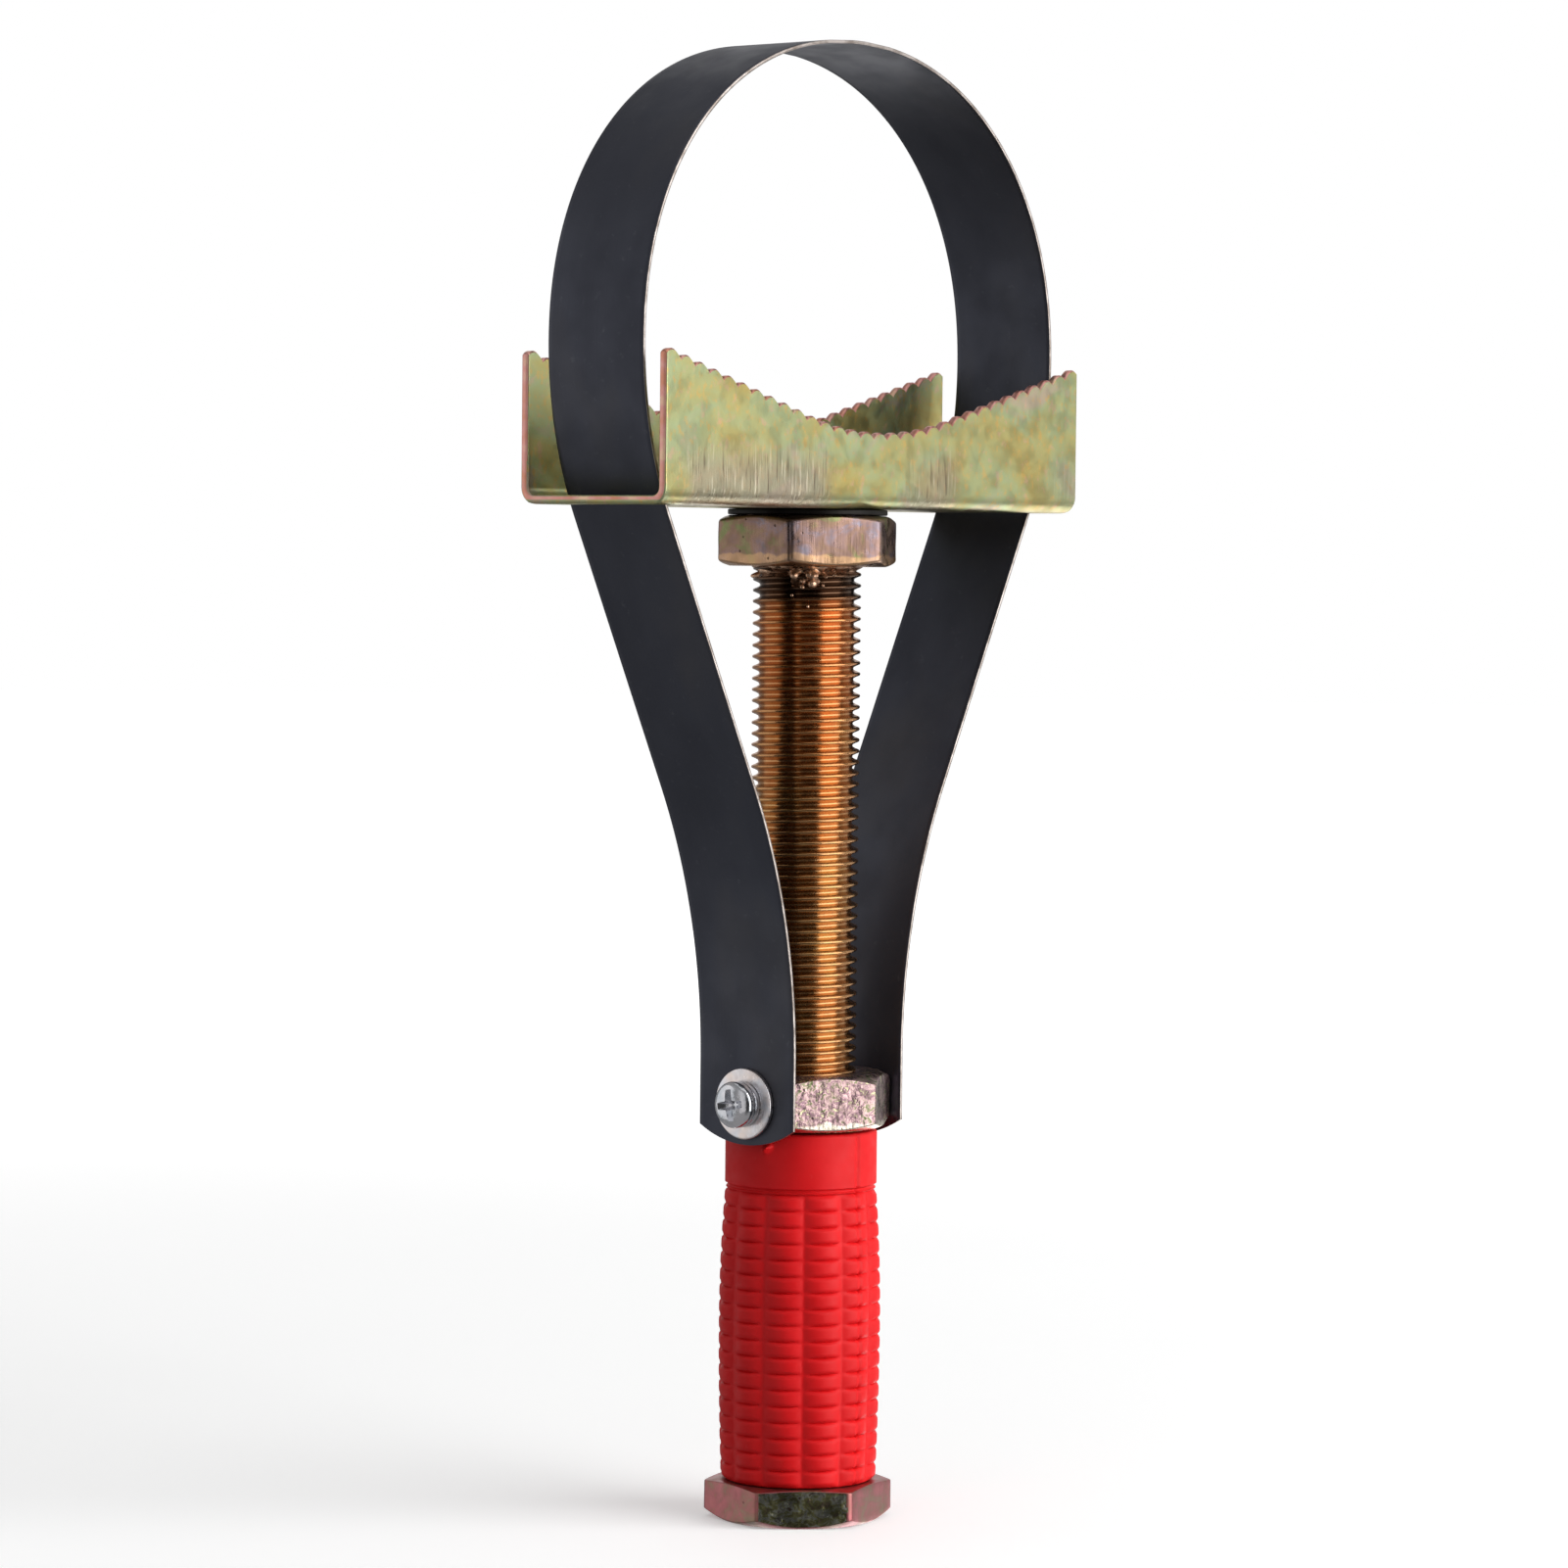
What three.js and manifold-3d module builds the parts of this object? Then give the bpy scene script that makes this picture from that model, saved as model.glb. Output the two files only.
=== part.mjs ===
// Oil filter wrench. A spring-steel band loops round the filter above a toothed saddle, and its two
// ends are screwed to a nut that travels along the handle screw. The screw, its grip and its end nut
// turn together in the saddle.
// Millimetres. +Z runs up the screw, +X along the saddle, and the origin is the centre of the end
// nut's bottom face.
import * as THREE from "three";
import { mergeVertices } from "three/addons/utils/BufferGeometryUtils.js";
import Module from "manifold-3d";

const wasm = await Module();
wasm.setup();

// Driving dimensions
const ROUND_SEGMENTS = 40;
const FACE_GAP = 0.1; // between stacked faces
const BORE_GAP = 0.3; // radial, between a shaft and what it passes through

const NUT_FLATS = 30;
const NUT_CHAMFER = 30; // degrees
const SCREW_RADIUS = 9.7; // M20 x 2, without its thread
const SCREW_END = 1.2; // height of the screw's lower end, inside the end nut
const END_NUT = { bottom: 0, height: 7, turn: -16.6 };
const STRAP_NUT = { bottom: 71.5, height: 10, turn: 0 };
const THRUST_NUT = { bottom: 173.1, height: 9.2, turn: -1 };

const GRIP_TOP = 71;
const GRIP_COLLAR = { radius: 13.8, height: 10 };
const GRIP_NECK = { radius: 13.25, height: 0.9 };
const GRIP_BARREL = { foot: 14.3, belly: 14.9, head: 13.95, bellyAt: 0.55 };
const GRIP_RIBS = 18;
const GRIP_RIB_DEPTH = 0.8;

const SADDLE_LENGTH = 118;
const SADDLE_WIDTH = 33.4;
const SADDLE_SHEET = 1.6;
const SADDLE_BEND = 3; // outside radius
const SADDLE_BOTTOM = 183.5;
const SADDLE_CORNER = 0.8;
const VALLEY_HEIGHT = 12.6; // root of the lowest tooth above the saddle's underside
const VALLEY_RADIUS = 75;
const VALLEY_SLOPE = 0.278; // of the straight flanks
const TEETH = 31;
const TOOTH_HEIGHT = 1.1;
const SLOT = { inner: 50.4, outer: 54.4, width: 24 };

const SPIGOT_RADIUS = 6;
const THRUST_WASHER = { radius: 14.5, height: 1 };
const SWIVEL_WASHER = { radius: 11.5, height: 1.5 };
const PEENED_HEAD = { radius: 8.6, rim: 1.2, height: 3.4 };

const BAND_WIDTH = 22;
const BAND_THICKNESS = 0.6;
const BAND_END = 69; // lower end of the band, just under the strap nut
const BAND_END_SAG = 3.2; // of the end's arc, from corner to middle
const LEG_BEND_START = 84;
const LEG_LEAN = Math.atan(0.5);
const LOOP_HALF_WIDTH = 58.2;
const LOOP_WAIST = 212; // height of the loop's widest place
const LOOP_TOP = 267.4;
const SHOULDER_RADIUS = 69;
const LOOP_SQUARENESS = 2.1; // 2 is an ellipse

const SCREW_M4 = { shank: 2.0, reach: 4.4, head: 4.2, headHeight: 2.6 };
const FLAT_WASHER = { radius: 6.4, height: 1 };
const SPRING_WASHER = { radius: 4.2, height: 1.1, gap: 0.7 };

// Materials
const finish = (color, roughness, metalness) =>
  new THREE.MeshStandardMaterial({ color, roughness, metalness });
const yellowZinc = finish(0xb5a860, 0.38, 0.85);
const bronzedZinc = finish(0xa88f6a, 0.35, 0.9);
const copperedSteel = finish(0xa4643a, 0.32, 0.95);
const bluedSteel = finish(0x2c2f38, 0.5, 0.7);
const brightZinc = finish(0xd6d8dc, 0.25, 1);
const redVinyl = finish(0xc8141a, 0.5, 0);
const weldMetal = finish(0x7a5a44, 0.6, 0.8);

// A closed geometry as a solid that can be joined and cut.
function solid(geometry) {
  const bare = geometry.clone();
  bare.deleteAttribute("normal");
  bare.deleteAttribute("uv");
  const merged = mergeVertices(bare, 1e-4);
  const mesh = new wasm.Mesh({
    numProp: 3,
    vertProperties: merged.attributes.position.array,
    triVerts: new Uint32Array(merged.index.array),
  });
  return new wasm.Manifold(mesh);
}

// A solid's surface as a geometry with flat faces.
function surface(made) {
  const { vertProperties, triVerts } = made.getMesh();
  const geometry = new THREE.BufferGeometry();
  geometry.setAttribute("position", new THREE.BufferAttribute(vertProperties, 3));
  geometry.setIndex(new THREE.BufferAttribute(triVerts, 1));
  const flat = geometry.toNonIndexed();
  flat.computeVertexNormals();
  return flat;
}

// Revolves [radius, height] points about +Z.
function turned(profile, segments = ROUND_SEGMENTS) {
  const points = profile.map(([radius, height]) => new THREE.Vector2(radius, height));
  return new THREE.LatheGeometry(points, segments).rotateX(Math.PI / 2);
}

function ring(inner, outer, bottom, height) {
  const top = bottom + height;
  return turned([
    [inner, bottom],
    [outer, bottom],
    [outer, top],
    [inner, top],
    [inner, bottom],
  ]);
}

function cylinder(radius, bottom, height) {
  const top = bottom + height;
  return turned([
    [0, bottom],
    [radius, bottom],
    [radius, top],
    [0, top],
  ]);
}

// Extrudes an XZ outline along Y, centred on Y = 0.
function slab(outline, width) {
  const geometry = new THREE.ExtrudeGeometry(new THREE.Shape(outline), {
    depth: width,
    bevelEnabled: false,
  });
  return geometry.rotateX(Math.PI / 2).translate(0, width / 2, 0);
}

function block(lengthX, lengthY, lengthZ, x, y, z) {
  return new THREE.BoxGeometry(lengthX, lengthY, lengthZ).translate(x, y, z);
}

// A hexagon nut with both faces chamfered, its first flat's normal turned from +X about +Z.
function hexNut({ bottom, height, turn }) {
  const corner = NUT_FLATS / Math.sqrt(3);
  const outline = [];
  for (let i = 0; i < 6; i += 1) {
    const angle = THREE.MathUtils.degToRad(turn + 30 + 60 * i);
    outline.push(new THREE.Vector2(corner * Math.cos(angle), corner * Math.sin(angle)));
  }
  const prism = new THREE.ExtrudeGeometry(new THREE.Shape(outline), {
    depth: height,
    bevelEnabled: false,
  }).translate(0, 0, bottom);
  const faceRadius = (NUT_FLATS / 2) * 0.95;
  const fall = (corner - faceRadius) * Math.tan(THREE.MathUtils.degToRad(NUT_CHAMFER));
  const top = bottom + height;
  const chamfers = turned([
    [0, bottom],
    [faceRadius, bottom],
    [corner, bottom + fall],
    [corner, top - fall],
    [faceRadius, top],
    [0, top],
  ]);
  const bore = cylinder(SCREW_RADIUS + BORE_GAP, bottom - 1, height + 2);
  return solid(prism).intersect(solid(chamfers)).subtract(solid(bore));
}

// Height of the saddle's tooth roots above its underside: a round valley between straight flanks.
function valleyHeight(x) {
  const reach = Math.abs(x);
  const lean = Math.atan(VALLEY_SLOPE);
  const arcEnd = VALLEY_RADIUS * Math.sin(lean);
  if (reach < arcEnd) {
    return VALLEY_HEIGHT + VALLEY_RADIUS - Math.sqrt(VALLEY_RADIUS ** 2 - reach ** 2);
  }
  const arcRise = VALLEY_RADIUS * (1 - Math.cos(lean));
  return VALLEY_HEIGHT + arcRise + VALLEY_SLOPE * (reach - arcEnd);
}

// Side view of the saddle: round lower corners and a row of round-topped teeth.
function saddleOutline() {
  const half = SADDLE_LENGTH / 2;
  const shape = new THREE.Shape();
  shape.moveTo(-half + SADDLE_CORNER, SADDLE_BOTTOM);
  shape.lineTo(half - SADDLE_CORNER, SADDLE_BOTTOM);
  const cornerZ = SADDLE_BOTTOM + SADDLE_CORNER;
  shape.absarc(half - SADDLE_CORNER, cornerZ, SADDLE_CORNER, -Math.PI / 2, 0, false);
  const outline = shape.getPoints(4);
  const stepsPerTooth = 6;
  const pitch = SADDLE_LENGTH / TEETH;
  const steps = TEETH * stepsPerTooth;
  for (let i = 0; i <= steps; i += 1) {
    const x = half - (i * pitch) / stepsPerTooth;
    const tooth = TOOTH_HEIGHT * Math.abs(Math.sin((Math.PI * i) / stepsPerTooth));
    outline.push(new THREE.Vector2(x, SADDLE_BOTTOM + valleyHeight(x) + tooth));
  }
  const left = new THREE.Shape();
  left.absarc(-half + SADDLE_CORNER, cornerZ, SADDLE_CORNER, Math.PI, 1.5 * Math.PI, false);
  return outline.concat(left.getPoints(4).slice(0, -1));
}

// The saddle's U section in the YZ plane, taller than the flanges, extruded along X.
function saddleChannel() {
  const outer = SADDLE_WIDTH / 2;
  const inner = outer - SADDLE_SHEET;
  const insideBend = SADDLE_BEND - SADDLE_SHEET;
  const floor = SADDLE_BOTTOM + SADDLE_SHEET;
  const bend = SADDLE_BOTTOM + SADDLE_BEND;
  const rim = SADDLE_BOTTOM + SADDLE_LENGTH / 3;
  const shape = new THREE.Shape();
  shape.moveTo(-outer, rim);
  shape.absarc(-outer + SADDLE_BEND, bend, SADDLE_BEND, Math.PI, 1.5 * Math.PI, false);
  shape.absarc(outer - SADDLE_BEND, bend, SADDLE_BEND, 1.5 * Math.PI, 2 * Math.PI, false);
  shape.lineTo(outer, rim);
  shape.lineTo(inner, rim);
  shape.absarc(inner - insideBend, floor + insideBend, insideBend, 0, -Math.PI / 2, true);
  shape.absarc(insideBend - inner, floor + insideBend, insideBend, 1.5 * Math.PI, Math.PI, true);
  shape.lineTo(-inner, rim);
  const geometry = new THREE.ExtrudeGeometry(shape, {
    depth: SADDLE_LENGTH + 2,
    bevelEnabled: false,
    curveSegments: 6,
  });
  const axes = new THREE.Matrix4().makeBasis(
    new THREE.Vector3(0, 1, 0),
    new THREE.Vector3(0, 0, 1),
    new THREE.Vector3(1, 0, 0),
  );
  return geometry.applyMatrix4(axes).translate(-SADDLE_LENGTH / 2 - 1, 0, 0);
}

function saddle() {
  const outline = solid(slab(saddleOutline(), SADDLE_WIDTH + 2));
  let made = solid(saddleChannel()).intersect(outline);
  const slotLength = SLOT.outer - SLOT.inner;
  const slotX = (SLOT.outer + SLOT.inner) / 2;
  for (const side of [-1, 1]) {
    const cut = block(slotLength, SLOT.width, 8, side * slotX, 0, SADDLE_BOTTOM);
    made = made.subtract(solid(cut));
  }
  return made.subtract(solid(cylinder(SPIGOT_RADIUS + BORE_GAP, SADDLE_BOTTOM - 1, 5)));
}

// The screw, its spigot through the saddle and the head peened over the swivel washer.
function screwRod() {
  const shoulder = THRUST_NUT.bottom + THRUST_NUT.height;
  const headBottom = SADDLE_BOTTOM + SADDLE_SHEET + SWIVEL_WASHER.height + 2 * FACE_GAP;
  const chamfer = 0.8;
  const profile = [
    [0, SCREW_END],
    [SCREW_RADIUS - chamfer, SCREW_END],
    [SCREW_RADIUS, SCREW_END + chamfer],
    [SCREW_RADIUS, shoulder],
    [SPIGOT_RADIUS, shoulder],
    [SPIGOT_RADIUS, headBottom],
    [PEENED_HEAD.radius, headBottom],
  ];
  const domeSteps = 5;
  const domeHeight = PEENED_HEAD.height - PEENED_HEAD.rim;
  for (let i = 0; i <= domeSteps; i += 1) {
    const angle = (Math.PI / 2) * (i / domeSteps);
    const radius = i === domeSteps ? 0 : PEENED_HEAD.radius * Math.cos(angle);
    profile.push([radius, headBottom + PEENED_HEAD.rim + domeHeight * Math.sin(angle)]);
  }
  return turned(profile);
}

// Radius of the grip's barrel at a fraction of its height, without its ribs.
function barrelRadius(t) {
  const { foot, belly, head, bellyAt } = GRIP_BARREL;
  const end = t < bellyAt ? foot : head;
  const away = t < bellyAt ? (bellyAt - t) / bellyAt : (t - bellyAt) / (1 - bellyAt);
  return belly + (end - belly) * away ** 2;
}

function grip() {
  const bottom = END_NUT.height + FACE_GAP;
  const collarBottom = GRIP_TOP - GRIP_COLLAR.height;
  const barrelTop = collarBottom - GRIP_NECK.height;
  const barrelHeight = barrelTop - bottom;
  const bore = SCREW_RADIUS + BORE_GAP;
  const round = 0.8;
  const profile = [[bore, bottom]];
  for (let i = 0; i <= 2 * GRIP_RIBS; i += 1) {
    const t = i / (2 * GRIP_RIBS);
    const depth = i % 2 === 0 ? GRIP_RIB_DEPTH : 0;
    profile.push([barrelRadius(t) - depth, bottom + barrelHeight * t]);
  }
  profile.push([GRIP_NECK.radius, barrelTop + GRIP_NECK.height / 3]);
  profile.push([GRIP_NECK.radius, collarBottom]);
  profile.push([GRIP_COLLAR.radius, collarBottom + GRIP_NECK.height / 3]);
  profile.push([GRIP_COLLAR.radius, GRIP_TOP - round]);
  profile.push([GRIP_COLLAR.radius - round, GRIP_TOP]);
  profile.push([bore, GRIP_TOP]);
  profile.push([bore, bottom]);
  return turned(profile, 32);
}

// Centreline of the band's +X half from its end to the top of the loop. The leg stands on the nut's
// flat, leans out, and comes back upright at the loop's widest place.
function bandCentreline() {
  const start = NUT_FLATS / 2 + FACE_GAP + BAND_THICKNESS / 2;
  const sin = Math.sin(LEG_LEAN);
  const cos = Math.cos(LEG_LEAN);
  const spreadX = LOOP_HALF_WIDTH - SHOULDER_RADIUS * (1 - cos) - start;
  const spreadZ = LOOP_WAIST - SHOULDER_RADIUS * sin - LEG_BEND_START;
  const bendRadius = (spreadZ * sin - spreadX * cos) / (sin ** 2 - cos * (1 - cos));
  const points = [new THREE.Vector2(start, BAND_END)];
  const bendSteps = 12;
  for (let i = 0; i <= bendSteps; i += 1) {
    const angle = (LEG_LEAN * i) / bendSteps;
    const x = start + bendRadius * (1 - Math.cos(angle));
    points.push(new THREE.Vector2(x, LEG_BEND_START + bendRadius * Math.sin(angle)));
  }
  for (let i = 0; i < bendSteps; i += 1) {
    const angle = LEG_LEAN * (1 - i / bendSteps);
    const x = LOOP_HALF_WIDTH - SHOULDER_RADIUS * (1 - Math.cos(angle));
    points.push(new THREE.Vector2(x, LOOP_WAIST - SHOULDER_RADIUS * Math.sin(angle)));
  }
  const archSteps = 26;
  const power = 2 / LOOP_SQUARENESS;
  for (let i = 0; i <= archSteps; i += 1) {
    const angle = ((Math.PI / 2) * i) / archSteps;
    const x = LOOP_HALF_WIDTH * Math.max(Math.cos(angle), 0) ** power;
    const rise = (LOOP_TOP - BAND_THICKNESS / 2 - LOOP_WAIST) * Math.sin(angle) ** power;
    points.push(new THREE.Vector2(i === archSteps ? 0 : x, LOOP_WAIST + rise));
  }
  return points;
}

// A strip of the band's thickness and width along a centreline in the XZ plane.
function strip(centreline) {
  const outside = [];
  const inside = [];
  centreline.forEach((point, i) => {
    const before = centreline[Math.max(i - 1, 0)];
    const after = centreline[Math.min(i + 1, centreline.length - 1)];
    const along = after.clone().sub(before).normalize();
    const across = new THREE.Vector2(along.y, -along.x).multiplyScalar(BAND_THICKNESS / 2);
    outside.push(point.clone().add(across));
    inside.push(point.clone().sub(across));
  });
  return slab(outside.concat(inside.reverse()), BAND_WIDTH);
}

// Cuts a centreline at a height, keeping what is under or over it.
function cutAt(centreline, height, keepUnder) {
  const next = centreline.findIndex((point) => point.y > height);
  const low = centreline[next - 1];
  const high = centreline[next];
  const cut = low.clone().lerp(high, (height - low.y) / (high.y - low.y));
  return keepUnder ? [...centreline.slice(0, next), cut] : [cut, ...centreline.slice(next)];
}

const seamHeight = SADDLE_BOTTOM + SADDLE_SHEET / 2;
const strapScrewHeight = STRAP_NUT.bottom + STRAP_NUT.height / 2;

function bandLoop() {
  const right = cutAt(bandCentreline(), seamHeight + BORE_GAP / 2, false);
  const left = right.slice(0, -1).map((point) => new THREE.Vector2(-point.x, point.y));
  return strip(right.concat(left.reverse()));
}

// What lies under the arc of the +X leg's end.
function endCut() {
  const steps = 12;
  const half = BAND_WIDTH / 2 + 1;
  const radius = (BAND_WIDTH ** 2 / 4 + BAND_END_SAG ** 2) / (2 * BAND_END_SAG);
  const outline = [new THREE.Vector2(-half, BAND_END - 1), new THREE.Vector2(half, BAND_END - 1)];
  for (let i = 0; i <= steps; i += 1) {
    const y = half * (1 - (2 * i) / steps);
    outline.push(new THREE.Vector2(y, BAND_END + radius - Math.sqrt(radius ** 2 - y ** 2)));
  }
  return slab(outline, NUT_FLATS).rotateZ(Math.PI / 2).translate(NUT_FLATS / 2, 0, 0);
}

// The +X leg, with its rounded end and a hole for its screw.
function bandLeg() {
  const leg = strip(cutAt(bandCentreline(), seamHeight - BORE_GAP / 2, true));
  const hole = cylinder(SCREW_M4.shank + BORE_GAP, 0, NUT_FLATS);
  hole.rotateY(Math.PI / 2).translate(0, 0, strapScrewHeight);
  return solid(leg).subtract(solid(hole)).subtract(solid(endCut()));
}

// The travelling nut, with a tapped hole through the flat behind each end of the band.
function strapNut() {
  const holes = cylinder(SCREW_M4.shank + BORE_GAP, -NUT_FLATS, 2 * NUT_FLATS);
  holes.rotateY(Math.PI / 2).translate(0, 0, strapScrewHeight);
  return hexNut(STRAP_NUT).subtract(solid(holes));
}

// A cross-recess pan head screw along +Z, its head's seat at Z = 0.
function panScrew() {
  const { shank, reach, head, headHeight } = SCREW_M4;
  const shankLength = reach + 3 * FACE_GAP + BAND_THICKNESS + FLAT_WASHER.height;
  const body = turned([
    [0, -shankLength - SPRING_WASHER.height],
    [shank, -shankLength - SPRING_WASHER.height],
    [shank, 0],
    [head, 0],
    [head, headHeight * 0.5],
    [head * 0.85, headHeight * 0.85],
    [head * 0.5, headHeight],
    [0, headHeight],
  ]);
  const recess = { length: 4.6, width: 0.9, depth: 1.5 };
  let made = solid(body);
  for (const [x, y] of [
    [recess.length, recess.width],
    [recess.width, recess.length],
  ]) {
    made = made.subtract(solid(block(x, y, 2 * recess.depth, 0, 0, headHeight)));
  }
  return made;
}

function springWasher() {
  const { radius, height, gap } = SPRING_WASHER;
  const whole = solid(ring(SCREW_M4.shank + BORE_GAP, radius, 0, height));
  return whole.subtract(solid(block(gap, radius * 2, height * 4, 0, -radius, 0)));
}

// A bead round the screw under the thrust nut.
function thrustWeld() {
  const top = THRUST_NUT.bottom - FACE_GAP;
  const bore = SCREW_RADIUS + BORE_GAP;
  return turned([
    [bore, top - 1.6],
    [bore + 0.5, top - 1.4],
    [bore + 1.2, top - 0.7],
    [bore + 1.6, top],
    [bore, top],
    [bore, top - 1.6],
  ]);
}

// A bead over the end of the screw inside the end nut's bore.
function endWeld() {
  const rim = SCREW_RADIUS + BORE_GAP / 2;
  const top = SCREW_END - FACE_GAP;
  return turned([
    [0, 0.7],
    [rim * 0.6, 0.5],
    [rim * 0.85, 0.3],
    [rim, 0.5],
    [rim, top],
    [0, top],
  ]);
}

const wrench = new THREE.Group();

function piece(name, shape, material, parent = wrench) {
  const geometry = shape.isBufferGeometry ? shape : surface(shape);
  const mesh = new THREE.Mesh(geometry, material);
  mesh.name = name;
  parent.add(mesh);
  return mesh;
}

piece("saddle", saddle(), yellowZinc);

const screwGroup = new THREE.Group();
wrench.add(screwGroup);
piece("screw_rod", screwRod(), copperedSteel, screwGroup);
piece("thrust_nut", hexNut(THRUST_NUT), bronzedZinc, screwGroup);
piece("thrust_nut_weld", thrustWeld(), weldMetal, screwGroup);
piece("grip", grip(), redVinyl, screwGroup);
piece("end_nut", hexNut(END_NUT), bronzedZinc, screwGroup);
piece("end_nut_weld", endWeld(), weldMetal, screwGroup);

const washerBore = SPIGOT_RADIUS + BORE_GAP;
const thrustBottom = SADDLE_BOTTOM - THRUST_WASHER.height - FACE_GAP;
const thrustRing = ring(washerBore, THRUST_WASHER.radius, thrustBottom, THRUST_WASHER.height);
piece("thrust_washer", thrustRing, bluedSteel);
const swivelBottom = SADDLE_BOTTOM + SADDLE_SHEET + FACE_GAP;
const swivelRing = ring(washerBore, SWIVEL_WASHER.radius, swivelBottom, SWIVEL_WASHER.height);
piece("swivel_washer", swivelRing, brightZinc);

piece("strap_nut", strapNut(), bronzedZinc);
piece("band_loop", bandLoop(), bluedSteel);

for (const [side, turn] of [
  ["right", 0],
  ["left", Math.PI],
]) {
  const half = new THREE.Group();
  half.rotation.z = turn;
  wrench.add(half);
  piece(`band_leg_${side}`, bandLeg(), bluedSteel, half);
  const fasteners = new THREE.Group();
  fasteners.position.set(0, 0, strapScrewHeight);
  fasteners.rotation.y = Math.PI / 2;
  half.add(fasteners);
  let seat = NUT_FLATS / 2 + BAND_THICKNESS + 2 * FACE_GAP;
  const flatRing = ring(SCREW_M4.shank + BORE_GAP, FLAT_WASHER.radius, seat, FLAT_WASHER.height);
  piece(`flat_washer_${side}`, flatRing, brightZinc, fasteners);
  seat += FLAT_WASHER.height + FACE_GAP;
  piece(`spring_washer_${side}`, springWasher(), brightZinc, fasteners).position.z = seat;
  seat += SPRING_WASHER.height + FACE_GAP;
  piece(`strap_screw_${side}`, panScrew(), brightZinc, fasteners).position.z = seat;
}

export default wrench;
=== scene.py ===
import math

import bmesh
import bpy
import numpy as np
from mathutils import Matrix, Vector, noise


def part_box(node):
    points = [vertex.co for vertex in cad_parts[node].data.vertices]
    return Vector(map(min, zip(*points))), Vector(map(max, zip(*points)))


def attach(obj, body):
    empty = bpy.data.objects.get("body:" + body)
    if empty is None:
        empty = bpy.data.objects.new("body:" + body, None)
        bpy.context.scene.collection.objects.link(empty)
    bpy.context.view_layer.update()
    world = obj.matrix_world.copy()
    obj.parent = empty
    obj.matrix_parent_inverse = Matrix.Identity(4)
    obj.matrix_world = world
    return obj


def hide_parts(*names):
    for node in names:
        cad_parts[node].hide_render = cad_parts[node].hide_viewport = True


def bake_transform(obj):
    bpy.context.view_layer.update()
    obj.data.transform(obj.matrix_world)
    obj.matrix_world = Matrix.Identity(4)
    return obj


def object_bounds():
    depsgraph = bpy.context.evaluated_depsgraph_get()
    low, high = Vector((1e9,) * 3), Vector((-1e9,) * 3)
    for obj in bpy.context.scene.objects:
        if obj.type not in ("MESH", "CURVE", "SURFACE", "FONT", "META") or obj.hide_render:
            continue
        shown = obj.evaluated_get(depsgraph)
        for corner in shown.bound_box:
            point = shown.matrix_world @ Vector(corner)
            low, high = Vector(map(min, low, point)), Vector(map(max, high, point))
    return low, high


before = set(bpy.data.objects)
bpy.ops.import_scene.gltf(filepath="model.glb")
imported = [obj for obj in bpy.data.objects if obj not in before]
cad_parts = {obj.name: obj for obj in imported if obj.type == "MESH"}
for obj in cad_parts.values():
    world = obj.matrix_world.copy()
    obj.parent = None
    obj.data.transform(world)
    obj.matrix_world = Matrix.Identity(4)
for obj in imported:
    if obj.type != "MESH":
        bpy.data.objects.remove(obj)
cad_low, cad_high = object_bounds()

MM = 0.001

boxes = {node: [np.array(corner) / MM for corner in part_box(node)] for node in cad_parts}


def low(node):
    return boxes[node][0]


def high(node):
    return boxes[node][1]


# ---- Driving dimensions, in millimetres ----

CAMERA_AZIMUTH = -50.77
CAMERA_ELEVATION = 2.28
FRONT = math.radians(CAMERA_AZIMUTH - 90)  # direction of the front as an angle about +Z

FLATS = high("strap_nut")[0] * 2
NUT_BORE = 9.9
NUT_SINK = 10.7

THREAD_CREST = 9.85
THREAD_ROOT = 8.55
THREAD_PITCH = 2.0
M4_PITCH = 0.7

SHEET = 1.6
SHEET_BEND = 3.0
VALLEY_HEIGHT = 12.6
VALLEY_RADIUS = 75.0
VALLEY_SLOPE = 0.278
TEETH = 31
TOOTH_HEIGHT = 1.1
SLOT_INNER, SLOT_OUTER, SLOT_WIDTH = 50.4, 54.4, 24.0

BAND_THICKNESS = 0.6
BAND_END_SAG = 3.2
LEG_BEND_START = 84.0
LEG_LEAN = math.atan(0.5)
LOOP_WAIST = 212.0
SHOULDER_RADIUS = 69.0
LOOP_SQUARENESS = 2.1

GRIP_RIBS = 18
GRIP_LOBE = 30.0  # degrees
PARTING_LINE = 48.0  # degrees, as seen from the front


# ---- Mesh makers: each returns (points, faces) ----


def grid(points, wrap_rows=False, wrap_columns=False):
    points = np.asarray(points, float)
    rows, columns = points.shape[:2]
    index = np.arange(rows * columns).reshape(rows, columns)
    if wrap_rows:
        index = np.vstack([index, index[:1]])
    if wrap_columns:
        index = np.hstack([index, index[:, :1]])
    corners = [index[:-1, :-1], index[:-1, 1:], index[1:, 1:], index[1:, :-1]]
    return points.reshape(-1, 3), np.stack(corners, -1).reshape(-1, 4).tolist()


def together(*parts):
    points, faces, start = [], [], 0
    for part_points, part_faces in parts:
        points.append(part_points)
        faces.extend([[corner + start for corner in face] for face in part_faces])
        start += len(part_points)
    return np.concatenate(points), faces


def turned_by(part, matrix):
    points, faces = part
    return points @ np.array(matrix.to_3x3()).T + np.array(matrix.translation), faces


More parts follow.
